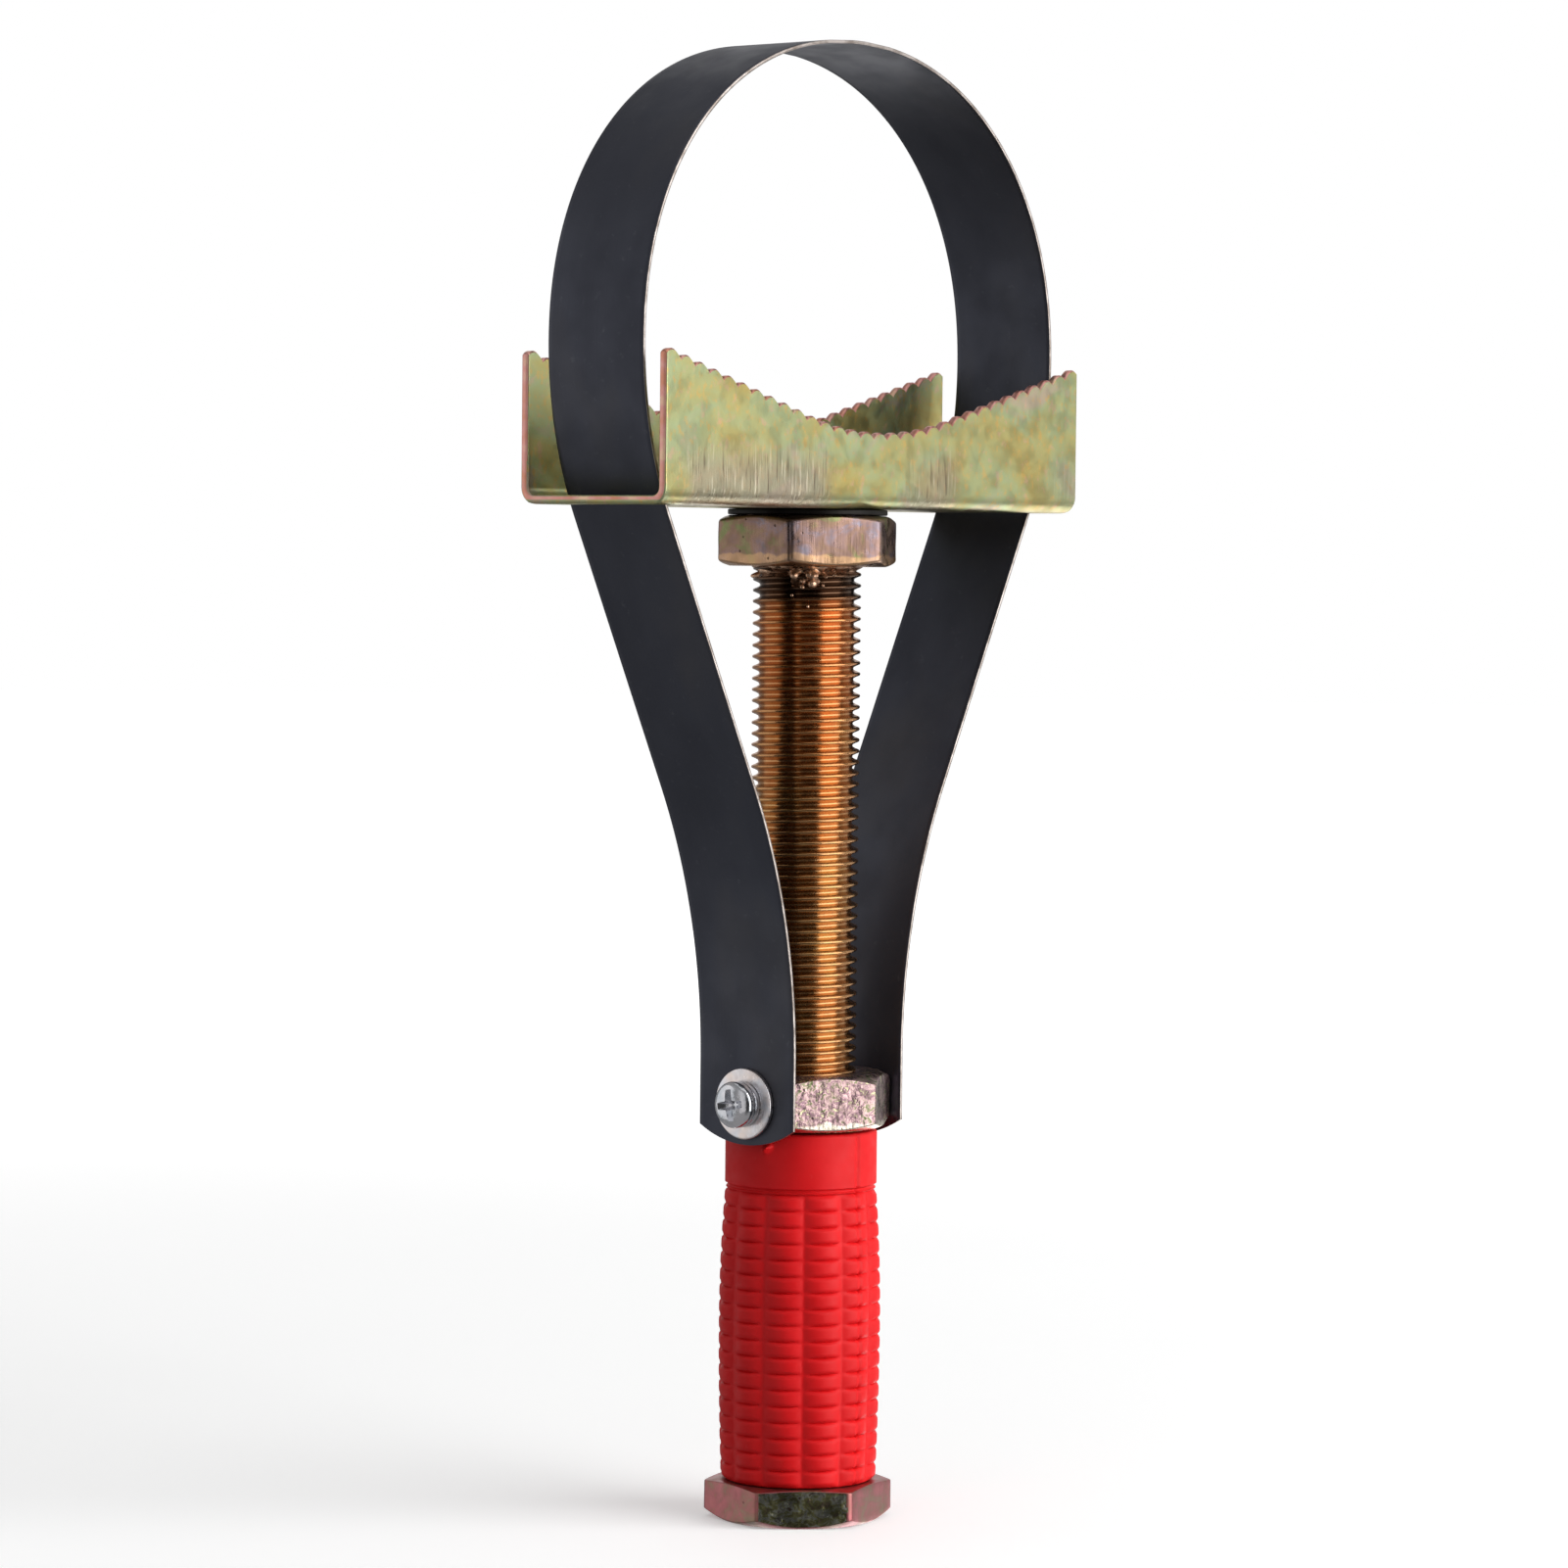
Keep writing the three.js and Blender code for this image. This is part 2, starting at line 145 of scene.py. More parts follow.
def rounded(corners, radius, steps=3, closed=False):
    """A polyline with its corners eased. A radius of 0 keeps a corner as one point."""
    corners = np.asarray(corners, float)
    radii = np.broadcast_to(radius, len(corners))
    eased = []
    for i, (corner, corner_radius) in enumerate(zip(corners, radii)):
        at_end = not closed and i in (0, len(corners) - 1)
        if corner_radius == 0 or at_end:
            eased.append(corner)
            continue
        before = corners[i - 1] - corner
        after = corners[(i + 1) % len(corners)] - corner
        lengths = np.linalg.norm(before), np.linalg.norm(after)
        cosine = np.clip(before @ after / (lengths[0] * lengths[1]), -1, 1)
        reach = corner_radius / math.tan(math.acos(cosine) / 2)
        reach = min(reach, 0.45 * min(lengths))
        start = corner + before / lengths[0] * reach
        end = corner + after / lengths[1] * reach
        for s in np.linspace(0, 1, steps + 1):
            eased.append((1 - s) ** 2 * start + 2 * s * (1 - s) * corner + s * s * end)
    return np.array(eased)


def revolved(profile, columns=96, closed=False):
    """Turns (radius, height) points about +Z."""
    profile = np.asarray(profile, float)
    angles = np.arange(columns) * 2 * np.pi / columns
    points = np.empty((len(profile), columns, 3))
    points[..., 0] = profile[:, :1] * np.cos(angles)
    points[..., 1] = profile[:, :1] * np.sin(angles)
    points[..., 2] = profile[:, 1:]
    return grid(points, wrap_rows=closed, wrap_columns=True)


def thread(root, crest, pitch, bottom, top, columns):
    """A right-hand thread that fades out at both ends, where it is as wide as its root."""
    form = np.array([0, 0.06, 0.42, 0.9, 1, 0.9, 0.42, 0.06])
    per_turn = len(form)
    turns = int(math.ceil((top - bottom) / pitch)) + 2
    rows = np.arange(turns * per_turn + 1)
    around = np.arange(columns + 1) / columns
    height = bottom - pitch + pitch * (rows[:, None] / per_turn + around[None, :])
    height = np.clip(height, bottom, top)
    phase = ((height - bottom) / pitch - around[None, :]) % 1 * per_turn
    depth = np.interp(phase, np.arange(per_turn + 1), np.append(form, form[0]))
    ends = np.clip((height - bottom) / pitch, 0, 1) * np.clip((top - height) / pitch, 0, 1)
    radius = root + (crest - root) * depth * ends
    angles = around * 2 * np.pi
    points = np.stack([radius * np.cos(angles), radius * np.sin(angles), height], -1)
    return grid(points)


def paired_ends(points):
    """Faces across both ends of a grid whose column i faces column -1 - i across the sheet."""
    rows, columns = points.shape[:2]
    faces = []
    for row in (0, rows - 1):
        at = row * columns
        for i in range(columns // 2 - 1):
            faces.append([at + i, at + i + 1, at + columns - 2 - i, at + columns - 1 - i])
    return faces


# ---- Objects ----


def mesh_object(name, part, materials, sharp_angle=35):
    """A smooth-shaded closed mesh with its doubled points merged and its faces turned outwards."""
    points, faces = part
    mesh = bpy.data.meshes.new(name)
    mesh.from_pydata((points * MM).tolist(), [], faces)
    made = bmesh.new()
    made.from_mesh(mesh)
    bmesh.ops.remove_doubles(made, verts=made.verts, dist=0.002 * MM)
    bmesh.ops.recalc_face_normals(made, faces=made.faces)
    made.to_mesh(mesh)
    made.free()
    for material in materials:
        mesh.materials.append(material)
    obj = bpy.data.objects.new(name, mesh)
    bpy.context.scene.collection.objects.link(obj)
    shade(obj, sharp_angle)
    return obj


def shade(obj, sharp_angle):
    obj.data.polygons.foreach_set("use_smooth", [True] * len(obj.data.polygons))
    obj.data.set_sharp_from_angle(angle=math.radians(sharp_angle))


def cut(obj, part, sharp_angle=35):
    """Takes the closed shape away from the object."""
    cutter = mesh_object(obj.name + "_cutter", part, [])
    modifier = obj.modifiers.new("cut", "BOOLEAN")
    modifier.object = cutter
    modifier.solver = "EXACT"
    bpy.context.view_layer.update()
    graph = bpy.context.evaluated_depsgraph_get()
    result = bpy.data.meshes.new_from_object(obj.evaluated_get(graph))
    obj.modifiers.remove(modifier)
    obj.data = result
    bpy.data.objects.remove(cutter)
    shade(obj, sharp_angle)


def paint_faces(obj, index, chosen):
    """Gives the faces for which chosen(centre in mm, normal) is true the material at that index."""
    for face in obj.data.polygons:
        if chosen(face.center / MM, face.normal):
            face.material_index = index


def settle(obj, body, slot, *nodes):
    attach(obj, body)
    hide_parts(*nodes)


# ---- Materials ----


def colour(red, green, blue):
    """A linear colour from 8-bit display values."""
    values = []
    for channel in (red, green, blue):
        share = channel / 255
        values.append(share / 12.92 if share <= 0.04045 else ((share + 0.055) / 1.055) ** 2.4)
    return (*values, 1.0)


class Finish:
    """A Principled material, with short ways to add procedural nodes. Sizes are in millimetres."""

    def __init__(self, name, **fixed):
        self.material = bpy.data.materials.new(name)
        self.material.use_nodes = True
        self.tree = self.material.node_tree
        self.shader = self.tree.nodes["Principled BSDF"]
        for socket, value in fixed.items():
            self.shader.inputs[socket.replace("_", " ")].default_value = value

    def node(self, kind, inputs, **settings):
        made = self.tree.nodes.new("ShaderNode" + kind)
        for setting, value in settings.items():
            setattr(made, setting, value)
        for socket, value in inputs.items():
            self.feed(made.inputs[socket], value)
        return made

    def feed(self, socket, value):
        if isinstance(value, bpy.types.NodeSocket):
            self.tree.links.new(value, socket)
        else:
            socket.default_value = value

    def place(self, size=1.0, stretch=(1, 1, 1)):
        """The object's own coordinates, in units of that size."""
        coordinates = self.node("TexCoord", {})
        scale = [1 / (size * MM * share) for share in stretch]
        mapping = self.node("Mapping", {"Vector": coordinates.outputs["Object"], "Scale": scale})
        return mapping.outputs["Vector"]

    def noise(self, size, stretch=(1, 1, 1), detail=3.0, roughness=0.5, distortion=0.0):
        inputs = {
            "Vector": self.place(size, stretch),
            "Scale": 1.0,
            "Detail": detail,
            "Roughness": roughness,
            "Distortion": distortion,
        }
        return self.node("TexNoise", inputs).outputs["Fac"]

    def cells(self, size, stretch=(1, 1, 1)):
        inputs = {"Vector": self.place(size, stretch), "Scale": 1.0}
        return self.node("TexVoronoi", inputs).outputs["Distance"]

    def ramp(self, factor, *stops):
        """Colours by position: each stop is (position, colour)."""
        made = self.node("ValToRGB", {"Fac": factor})
        elements = made.color_ramp.elements
        while len(elements) < len(stops):
            elements.new(0.5)
        for element, (position, value) in zip(elements, stops):
            element.position = position
            element.color = value
        return made.outputs["Color"]

    def range(self, value, start, end, to_start=0.0, to_end=1.0):
        inputs = {
            "Value": value,
            "From Min": start,
            "From Max": end,
            "To Min": to_start,
            "To Max": to_end,
        }
        made = self.node("MapRange", inputs, interpolation_type="SMOOTHSTEP")
        return made.outputs["Result"]

    def mix(self, factor, first, second, blend="MIX"):
        made = self.node("Mix", {}, data_type="RGBA", blend_type=blend)
        self.feed(made.inputs[0], factor)
        self.feed(made.inputs[6], first)
        self.feed(made.inputs[7], second)
        return made.outputs[2]

    def sum(self, operation, first, second):
        made = self.node("Math", {}, operation=operation)
        self.feed(made.inputs[0], first)
        self.feed(made.inputs[1], second)
        return made.outputs[0]

    def height(self):
        """Height in the frame, in millimetres."""
        return self.node("SeparateXYZ", {"Vector": self.place()}).outputs["Z"]

    def bump(self, value, depth, under=None):
        inputs = {"Height": value, "Distance": depth * MM, "Strength": 1.0}
        if under is not None:
            inputs["Normal"] = under
        return self.node("Bump", inputs).outputs["Normal"]

    def set(self, **links):
        for socket, value in links.items():
            self.feed(self.shader.inputs[socket.replace("_", " ")], value)
        return self.material


def yellow_zinc():
    """Passivated sheet: drifting olive, gold and mauve, with the bending die's scratches below."""
    finish = Finish("yellow_zinc", Metallic=0.9)
    floor = low("saddle")[2]
    drift = finish.ramp(
        finish.noise(14, (1.2, 1, 0.8), 3, 0.6, 0.6),
        (0.30, colour(176, 160, 98)),
        (0.42, colour(174, 168, 112)),
        (0.56, colour(164, 174, 130)),
        (0.68, colour(178, 164, 140)),
    )
    specks = finish.noise(1.3, (1, 1, 1.4), 4, 0.7)
    gold = finish.range(specks, 0.52, 0.66)
    speckled = finish.mix(finish.sum("MULTIPLY", gold, 0.55), drift, colour(206, 166, 92))
    pinks = finish.range(finish.noise(2.1, (1, 1, 1), 3, 0.6, 0.3), 0.56, 0.70)
    speckled = finish.mix(finish.sum("MULTIPLY", pinks, 0.45), speckled, colour(206, 160, 140))
    low_part = finish.range(finish.height(), floor + 13, floor + 5)
    worn = finish.range(finish.noise(22, (1, 1, 3), 1), 0.40, 0.58)
    scraped = finish.sum("MULTIPLY", low_part, worn)
    mauve = finish.mix(finish.sum("MULTIPLY", scraped, 0.75), speckled, colour(160, 148, 130))
    streaks = finish.noise(0.55, (1, 1, 16), 2, 0.6)
    dark = finish.sum("MULTIPLY", finish.range(streaks, 0.56, 0.70), scraped)
    scratched = finish.mix(finish.sum("MULTIPLY", dark, 0.8), mauve, colour(104, 88, 70))
    light = finish.sum("MULTIPLY", finish.range(streaks, 0.42, 0.32), scraped)
    scratched = finish.mix(finish.sum("MULTIPLY", light, 0.5), scratched, colour(232, 222, 196))
    roughness = finish.range(finish.noise(3, detail=4), 0.3, 0.7, 0.30, 0.46)
    groove = finish.sum("MULTIPLY", streaks, scraped)
    normal = finish.bump(groove, 0.05, finish.bump(finish.noise(0.9, detail=4), 0.02))
    return finish.set(Base_Color=scratched, Roughness=roughness, Normal=normal)


def pink_zinc():
    """The sheet's cut edges, where the plating is thinner."""
    finish = Finish("pink_zinc", Metallic=0.9)
    tone = finish.ramp(
        finish.noise(3.5, detail=4),
        (0.35, colour(214, 146, 122)),
        (0.55, colour(222, 160, 152)),
        (0.70, colour(228, 190, 160)),
    )
    lines = finish.noise(0.5, (1, 8, 8), 3)
    roughness = finish.range(lines, 0.3, 0.7, 0.28, 0.42)
    return finish.set(Base_Color=tone, Roughness=roughness, Normal=finish.bump(lines, 0.05))


def bronzed_zinc(name, tones, patch, roughness, dents, pale_below=-2.0, pale=(206, 164, 120)):
    """Plated nuts: patches of the tones, with forged dents of a (size, depth), vertical marks, and
    a paler edge below a height in the frame: a heat tint on the thrust nut, and a painted highlight
    on the strap nut's lower chamfer."""
    finish = Finish(name, Metallic=0.95)
    patches = finish.noise(patch, (1, 1, 0.8), 4, 0.62, 0.7)
    positions = np.linspace(0.36, 0.66, len(tones))
    tone = finish.ramp(patches, *[(p, colour(*t)) for p, t in zip(positions, tones)])
    greens = finish.range(finish.noise(2.4, detail=4, roughness=0.7), 0.60, 0.74)
    tone = finish.mix(finish.sum("MULTIPLY", greens, 0.5), tone, colour(128, 132, 76))
    # Paler edge below pale_below: heat tint on the thrust nut; on the strap nut, a near-white painted
    # highlight along the lower chamfer.
    edge = finish.range(finish.noise(4.2, (1, 1, 4), 2), 0.3, 0.7, pale_below - 0.4, pale_below + 0.5)
    above = finish.sum("SUBTRACT", finish.height(), edge)
    tone = finish.mix(finish.range(above, 0.3, -0.2, 0.0, 0.6), tone, colour(*pale))
    pits = finish.range(finish.cells(3.7), 0.09, 0.02)
    tone = finish.mix(finish.sum("MULTIPLY", pits, 0.6), tone, colour(60, 44, 28))
    gloss = finish.range(finish.noise(2.4, detail=4), 0.3, 0.7, *roughness)
    marks = finish.noise(0.5, (1, 1, 9), 3)
    under = finish.bump(finish.noise(dents[0], detail=2), dents[1])
    normal = finish.bump(marks, 0.03, finish.bump(pits, -0.06, under))
    return finish.set(Base_Color=tone, Roughness=gloss, Normal=normal)


def coppered_steel():
    """The screw: copper bronze flanks, browner and duller where the weld has heated it."""
    finish = Finish("coppered_steel", Metallic=1.0)
    weld = low("thrust_nut")[2]
    tone = finish.ramp(
        finish.noise(7, (1, 1, 1.6), 3, 0.55),
        (0.34, colour(190, 138, 88)),
        (0.50, colour(184, 138, 94)),
        (0.66, colour(192, 150, 100)),
    )
    redder = finish.range(finish.height(), weld - 55, weld - 8)
    tone = finish.mix(finish.sum("MULTIPLY", redder, 0.35), tone, colour(196, 116, 70))
    heated = finish.range(finish.height(), weld - 8.5, weld - 4.5)
    tone = finish.mix(finish.sum("MULTIPLY", heated, 0.9), tone, colour(66, 54, 46))
    stains = finish.range(finish.noise(1.1, (1, 1, 0.7), 4, 0.7), 0.60, 0.74)
    tone = finish.mix(finish.sum("MULTIPLY", stains, 0.6), tone, colour(92, 58, 38))
    roughness = finish.range(finish.noise(1.7, detail=4), 0.3, 0.7, 0.18, 0.30)
    normal = finish.bump(finish.noise(0.45, (3, 3, 1), 3), 0.02)
    return finish.set(Base_Color=tone, Roughness=roughness, Normal=normal)


def blued_steel(name, tones):
    """Hardened strip: blue black, satin, with rolling lines along it and faint oil marks."""
    finish = Finish(name, Metallic=0.75)
    tone = finish.ramp(
        finish.noise(24, (1, 1, 2.2), 3, 0.55),
        (0.32, colour(*tones[0])),
        (0.52, colour(*tones[1])),
        (0.70, colour(*tones[2])),
    )
    marks = finish.range(finish.noise(2.2, detail=5, roughness=0.7), 0.60, 0.76)
    tone = finish.mix(finish.sum("MULTIPLY", marks, 0.35), tone, colour(96, 98, 104))
    rolling = finish.noise(0.35, (40, 1, 60), 2)
    roughness = finish.range(finish.noise(9, detail=4), 0.3, 0.7, 0.42, 0.56)
    normal = finish.bump(rolling, 0.012)
    return finish.set(Base_Color=tone, Roughness=roughness, Normal=normal)


def sheared_steel():
    """The band's bright slit edges."""
    finish = Finish("sheared_steel", Metallic=0.9)
    tone = finish.ramp(
        finish.noise(2.5, detail=4),
        (0.35, colour(150, 138, 130)),
        (0.60, colour(196, 186, 180)),
    )
    lines = finish.noise(0.5, (6, 0.4, 6), 3)
    return finish.set(Base_Color=tone, Roughness=0.36, Normal=finish.bump(lines, 0.05))


def bright_zinc(name, first, second, roughness):
    finish = Finish(name, Metallic=1.0)
    tone = finish.ramp(finish.noise(3.2, detail=4), (0.38, first), (0.62, second))
    gloss = finish.range(finish.noise(1.2, detail=4), 0.3, 0.7, *roughness)
    normal = finish.bump(finish.noise(0.5, detail=3), 0.02, finish.bump(finish.noise(1.9), 0.08))
    return finish.set(Base_Color=tone, Roughness=gloss, Normal=normal)


def red_vinyl():
    """Moulded grip: faintly mottled, with a fine moulded grain."""
    finish = Finish("red_vinyl", Specular_IOR_Level=0.16)
    tone = finish.ramp(
        finish.noise(9, detail=3),
        (0.35, colour(214, 22, 26)),
        (0.65, colour(226, 28, 32)),
    )
    dust = finish.range(finish.noise(1.4, detail=5, roughness=0.7), 0.60, 0.78)
    tone = finish.mix(finish.sum("MULTIPLY", dust, 0.12), tone, colour(236, 110, 104))
    roughness = finish.range(finish.noise(2.2, detail=4), 0.3, 0.7, 0.42, 0.58)
    normal = finish.bump(finish.noise(0.28, detail=2), 0.018)
    return finish.set(Base_Color=tone, Roughness=roughness, Normal=normal)


def weld_metal():
    """Bead and spatter: bronze where it shines, dark scale between."""
    finish = Finish("weld_metal", Metallic=0.9)
    tone = finish.ramp(
        finish.noise(1.6, detail=4, roughness=0.65),
        (0.30, colour(112, 90, 76)),
        (0.44, colour(196, 156, 128)),
        (0.60, colour(234, 196, 166)),
    )
    roughness = finish.range(finish.noise(1.0, detail=4), 0.3, 0.7, 0.22, 0.46)
    normal = finish.bump(finish.noise(0.5, detail=4), 0.07)
    return finish.set(Base_Color=tone, Roughness=roughness, Normal=normal)


ZINC = yellow_zinc()
CUT_EDGE = pink_zinc()
THRUST_TONES = [(126, 128, 88), (142, 114, 96), (142, 116, 110), (132, 124, 134)]
STRAP_TONES = [(104, 112, 76), (190, 160, 158), (116, 88, 100), (196, 190, 150)]
END_TONES = [(176, 106, 108), (168, 102, 104), (152, 104, 96), (140, 118, 98)]
OLIVE_TONES = [(104, 92, 78), (124, 122, 80), (160, 160, 150), (84, 68, 52)]
# Heights of the paler lower edges: heat tint on the thrust nut, a painted highlight on the strap nut.
THRUST_EDGE = low("thrust_nut")[2] + 2.0
STRAP_PAINTED_HIGHLIGHT_EDGE = low("strap_nut")[2] + 1.5
THRUST_ZINC = bronzed_zinc("bronzed_zinc_thrust", THRUST_TONES, 6.5, (0.24, 0.40), (3.4, 0.08), THRUST_EDGE)
# The strap nut's near-white (255, 246, 224) lower edge is a painted highlight on its chamfer.
STRAP_ZINC = bronzed_zinc(
    "bronzed_zinc_strap", STRAP_TONES, 1.7, (0.20, 0.34), (1.6, 0.16), STRAP_PAINTED_HIGHLIGHT_EDGE, (255, 246, 224)
)
END_ZINC = bronzed_zinc("bronzed_zinc_end", END_TONES, 6.0, (0.30, 0.42), (3.4, 0.05))
OLIVE_ZINC = bronzed_zinc("bronzed_zinc_olive", OLIVE_TONES, 1.8, (0.20, 0.40), (1.7, 0.30))
COPPER = coppered_steel()
BLUED = blued_steel("blued_steel", [(58, 60, 70), (66, 68, 78), (74, 74, 80)])
# Near black all over, as dark as the thin line between the thrust nut and the saddle.
NEAR_BLACK_STEEL = blued_steel("near_black_steel", [(20, 20, 20), (26, 24, 22), (34, 30, 28)])
SHEARED = sheared_steel()
WASHER_ZINC = bright_zinc(
    "bright_zinc_washer", colour(236, 222, 216), colour(226, 226, 232), (0.26, 0.38)
)
SCREW_ZINC = bright_zinc(
    "bright_zinc_screw", colour(196, 200, 206), colour(224, 222, 226), (0.10, 0.22)
)
VINYL = red_vinyl()
WELD = weld_metal()


# ---- Nuts ----


def hexagon(turn, corner_radius, arc_steps=5, flat_steps=9):
    """Outline of a hexagon with eased corners, its first flat's normal turned from +X."""
    inner = (FLATS / 2 - corner_radius) / math.cos(math.pi / 6)
    arcs = []
    for i in range(6):
        facing = math.radians(turn + 30 + 60 * i)
        centre = inner * np.array([math.cos(facing), math.sin(facing)])
        sweep = facing + np.linspace(-math.pi / 6, math.pi / 6, arc_steps + 1)
        arcs.append(centre + corner_radius * np.stack([np.cos(sweep), np.sin(sweep)], -1))
    outline = []
    for arc, following in zip(arcs, arcs[1:] + arcs[:1]):
        outline.extend(arc)
        for s in np.arange(1, flat_steps) / flat_steps:
            outline.append(arc[-1] * (1 - s) + following[0] * s)
    return np.array(outline)


def hex_nut(node, turn, corner_radius, edge, face_share, dent, chamfers):
    """A chamfered nut in the CAD node's place, with slightly uneven forged faces.
    Chamfers are the angles of the lower and the upper one, in degrees."""
    bottom, top = low(node)[2], high(node)[2]
    face = FLATS / 2 * face_share
    sink = 0.55
    flat_rows = 6
    columns = []
    for outline_point in hexagon(turn, corner_radius):
        reach = np.linalg.norm(outline_point)
        low_fall, high_fall = ((reach - face) * math.tan(math.radians(a)) for a in chamfers)
        section = [
            (NUT_BORE, top - sink),
            (NUT_BORE, bottom + sink),
            (NUT_SINK, bottom),
            (face, bottom),
            (reach, bottom + low_fall),
        ]
        for s in np.arange(1, flat_rows) / flat_rows:
            section.append((reach, (bottom + low_fall) * (1 - s) + (top - high_fall) * s))
        section += [(reach, top - high_fall), (face, top), (NUT_SINK, top)]
        radii = [0, 0, 0.1, edge, edge] + [0] * (flat_rows - 1) + [edge, edge, 0.1]
        section = rounded(section, radii, 3, closed=True)
        direction = outline_point / reach
        column = np.column_stack([section[:, :1] * direction, section[:, 1]])
        for point, radius in zip(column, section[:, 0]):
            if radius > face:
                waves = noise.noise(Vector(point) / 4.5)
                point[:2] -= direction * dent * (waves + 0.5)
        columns.append(column)
    return grid(columns, wrap_rows=True, wrap_columns=True)


def is_front_flat(centre, normal):
    """The end nut's flat that faces the front, where the plating came out olive."""
    return normal.x * math.cos(FRONT) + normal.y * math.sin(FRONT) > 0.985


def build_nuts():
    nuts = [
        ("end_nut", -16.6, 1.5, 0.22, 0.97, 0.08, (30, 10), END_ZINC, "screw"),
        ("strap_nut", 0, 0.8, 0.40, 0.95, 0.10, (24, 26), STRAP_ZINC, "carriage"),
        ("thrust_nut", -1, 1.4, 0.70, 0.95, 0.14, (18, 18), THRUST_ZINC, "screw"),
    ]
    for node, turn, corner, edge, face, dent, chamfers, finish, body in nuts:
        part = hex_nut(node, turn, corner, edge, face, dent, chamfers)
        nut = mesh_object(node + "_hex", part, [finish, OLIVE_ZINC], 50)
        if node == "end_nut":
            paint_faces(nut, 1, is_front_flat)
        settle(nut, body, "bronzed_zinc", node)


# ---- Screw, washers on it and welds ----


def build_screw_rod():
    """The threaded rod, the spigot through the saddle and its peened head, in one turned piece."""
    columns = 96
    bottom, top = low("screw_rod")[2], high("screw_rod")[2]
    shoulder = high("thrust_nut")[2] + 0.05
    thread_bottom = high("grip")[2] - 8
    thread_top = shoulder - 1
    spigot = 6.0
    head = 8.6
    head_bottom = high("swivel_washer")[2] + 0.05
    lower = [(0, bottom), (8.0, bottom), (THREAD_ROOT, bottom + 0.6), (THREAD_ROOT, thread_bottom)]
    upper = [(THREAD_ROOT, thread_top), (THREAD_ROOT, shoulder), (spigot, shoulder)]
    upper += [(spigot, head_bottom), (head - 0.3, head_bottom), (head, head_bottom + 0.3)]
    rim = head_bottom + 1.0
    for angle in np.linspace(0, math.pi / 2, 9):
        upper.append((head * math.cos(angle), rim + (top - rim) * math.sin(angle)))
    middle = thread(THREAD_ROOT, THREAD_CREST, THREAD_PITCH, thread_bottom, thread_top, columns)
    part = together(revolved(lower, columns), middle, revolved(upper, columns))
    rod = mesh_object("lead_screw", part, [COPPER], 80)
    settle(rod, "screw", "coppered_steel", "screw_rod")


def ring(node, edge, uneven=0.0):
    """A flat washer about Z in the CAD node's place, with eased edges."""
    bottom, top = low(node)[2], high(node)[2]
    outer = high(node)[0]
    bore = 6.3
    section = [(bore, bottom), (outer, bottom), (outer, top), (bore, top)]
    points, faces = revolved(rounded(section, edge, 3, closed=True), 96, closed=True)
    for point in points:
        point[:2] *= 1 + uneven * noise.noise(Vector(point) / 6) / outer
    return points, faces


def build_saddle_washers():
    for node, finish, slot in [
        ("thrust_washer", NEAR_BLACK_STEEL, "blued_steel"),
        ("swivel_washer", WASHER_ZINC, "bright_zinc"),
    ]:
        settle(mesh_object(node + "_disc", ring(node, 0.25, 0.1), [finish]), "saddle", slot, node)


def thrust_weld():
    """A lumpy bead under the thrust nut, run down over the first threads at the front."""
    top = low("thrust_nut")[2] + 0.4
    bottom = top - 9
    hidden = THREAD_ROOT - 0.5
    # lumps: angle seen from the front in degrees, depth under the nut, size, how far they stand out
    lumps = [
        (-14, 1.6, 1.3, 1.9),
        (-4, 2.7, 0.9, 2.0),
        (6, 1.7, 1.5, 2.1),
        (6, 3.0, 1.1, 2.0),
        (20, 1.7, 0.6, 1.9),
        (30, 1.5, 0.8, 1.8),
        (150, 2.0, 1.2, 2.0),
        (196, 1.6, 1.0, 2.1),
        (262, 1.8, 0.9, 1.9),
    ]
    columns = 180
    heights = np.linspace(top, bottom, 56)
    angles = np.arange(columns) * 2 * np.pi / columns
    points = np.empty((len(heights), columns, 3))
    for i, height in enumerate(heights):
        for j, angle in enumerate(angles):
            spot = Vector((math.cos(angle) * 4, math.sin(angle) * 4, height * 0.9))
            lump = noise.noise(spot)
            bead = 2.2 * math.exp(-(((top - height) / (1.25 + 0.5 * lump)) ** 2))
            radius = hidden + bead * (1 + 0.25 * lump)
            for facing, depth, size, proud in lumps:
                away = angle - FRONT - math.radians(facing)
                away = math.atan2(math.sin(away), math.cos(away)) * THREAD_CREST
                share = math.exp(-((away**2 + (top - 0.4 - depth - height) ** 2) / size**2))
                radius = max(radius, hidden + (proud + 0.5) * share)
            points[i, j] = (radius * math.cos(angle), radius * math.sin(angle), height)
    for row, height in ((0, top), (-1, bottom)):
        points[row, :, :2] *= (hidden - 0.4) / np.linalg.norm(points[row, :, :2], axis=1)[:, None]
        points[row, :, 2] = height
    centre = np.zeros((1, columns, 3))
    lid, foot = centre + (0, 0, top), centre + (0, 0, bottom)
    return grid(np.concatenate([lid, points, foot]), wrap_columns=True)


def weld_drop(facing, depth, size):
    """A round drop of spatter on the thread, placed like the bead's lumps."""
    arc = np.linspace(-math.pi / 2, math.pi / 2, 13)
    ball = revolved(np.column_stack([size * np.cos(arc), size * np.sin(arc)]), 24)
    angle = FRONT + math.radians(facing)
    reach = THREAD_CREST - 0.1
    centre = (reach * math.cos(angle), reach * math.sin(angle), low("thrust_nut")[2] - depth)
    return turned_by(ball, Matrix.Translation(centre))


def end_weld():
    """A shallow bead that closes the screw's end inside the end nut."""
    top, bottom = high("end_nut_weld")[2], low("end_nut_weld")[2]
    rim = NUT_BORE
    profile = [(0, bottom + 0.35)]
    for share in np.linspace(0.1, 1, 12):
        dish = bottom + 0.35 - 0.3 * math.sin(math.pi * share**2)
        profile.append((rim * share, dish))
    profile += [(rim, top), (0, top)]
    points, faces = revolved(profile, 96)
    for point in points:
        if point[2] < top - 0.05:
            point[2] += 0.14 * noise.noise(Vector(point) / 1.3)
    return points, faces


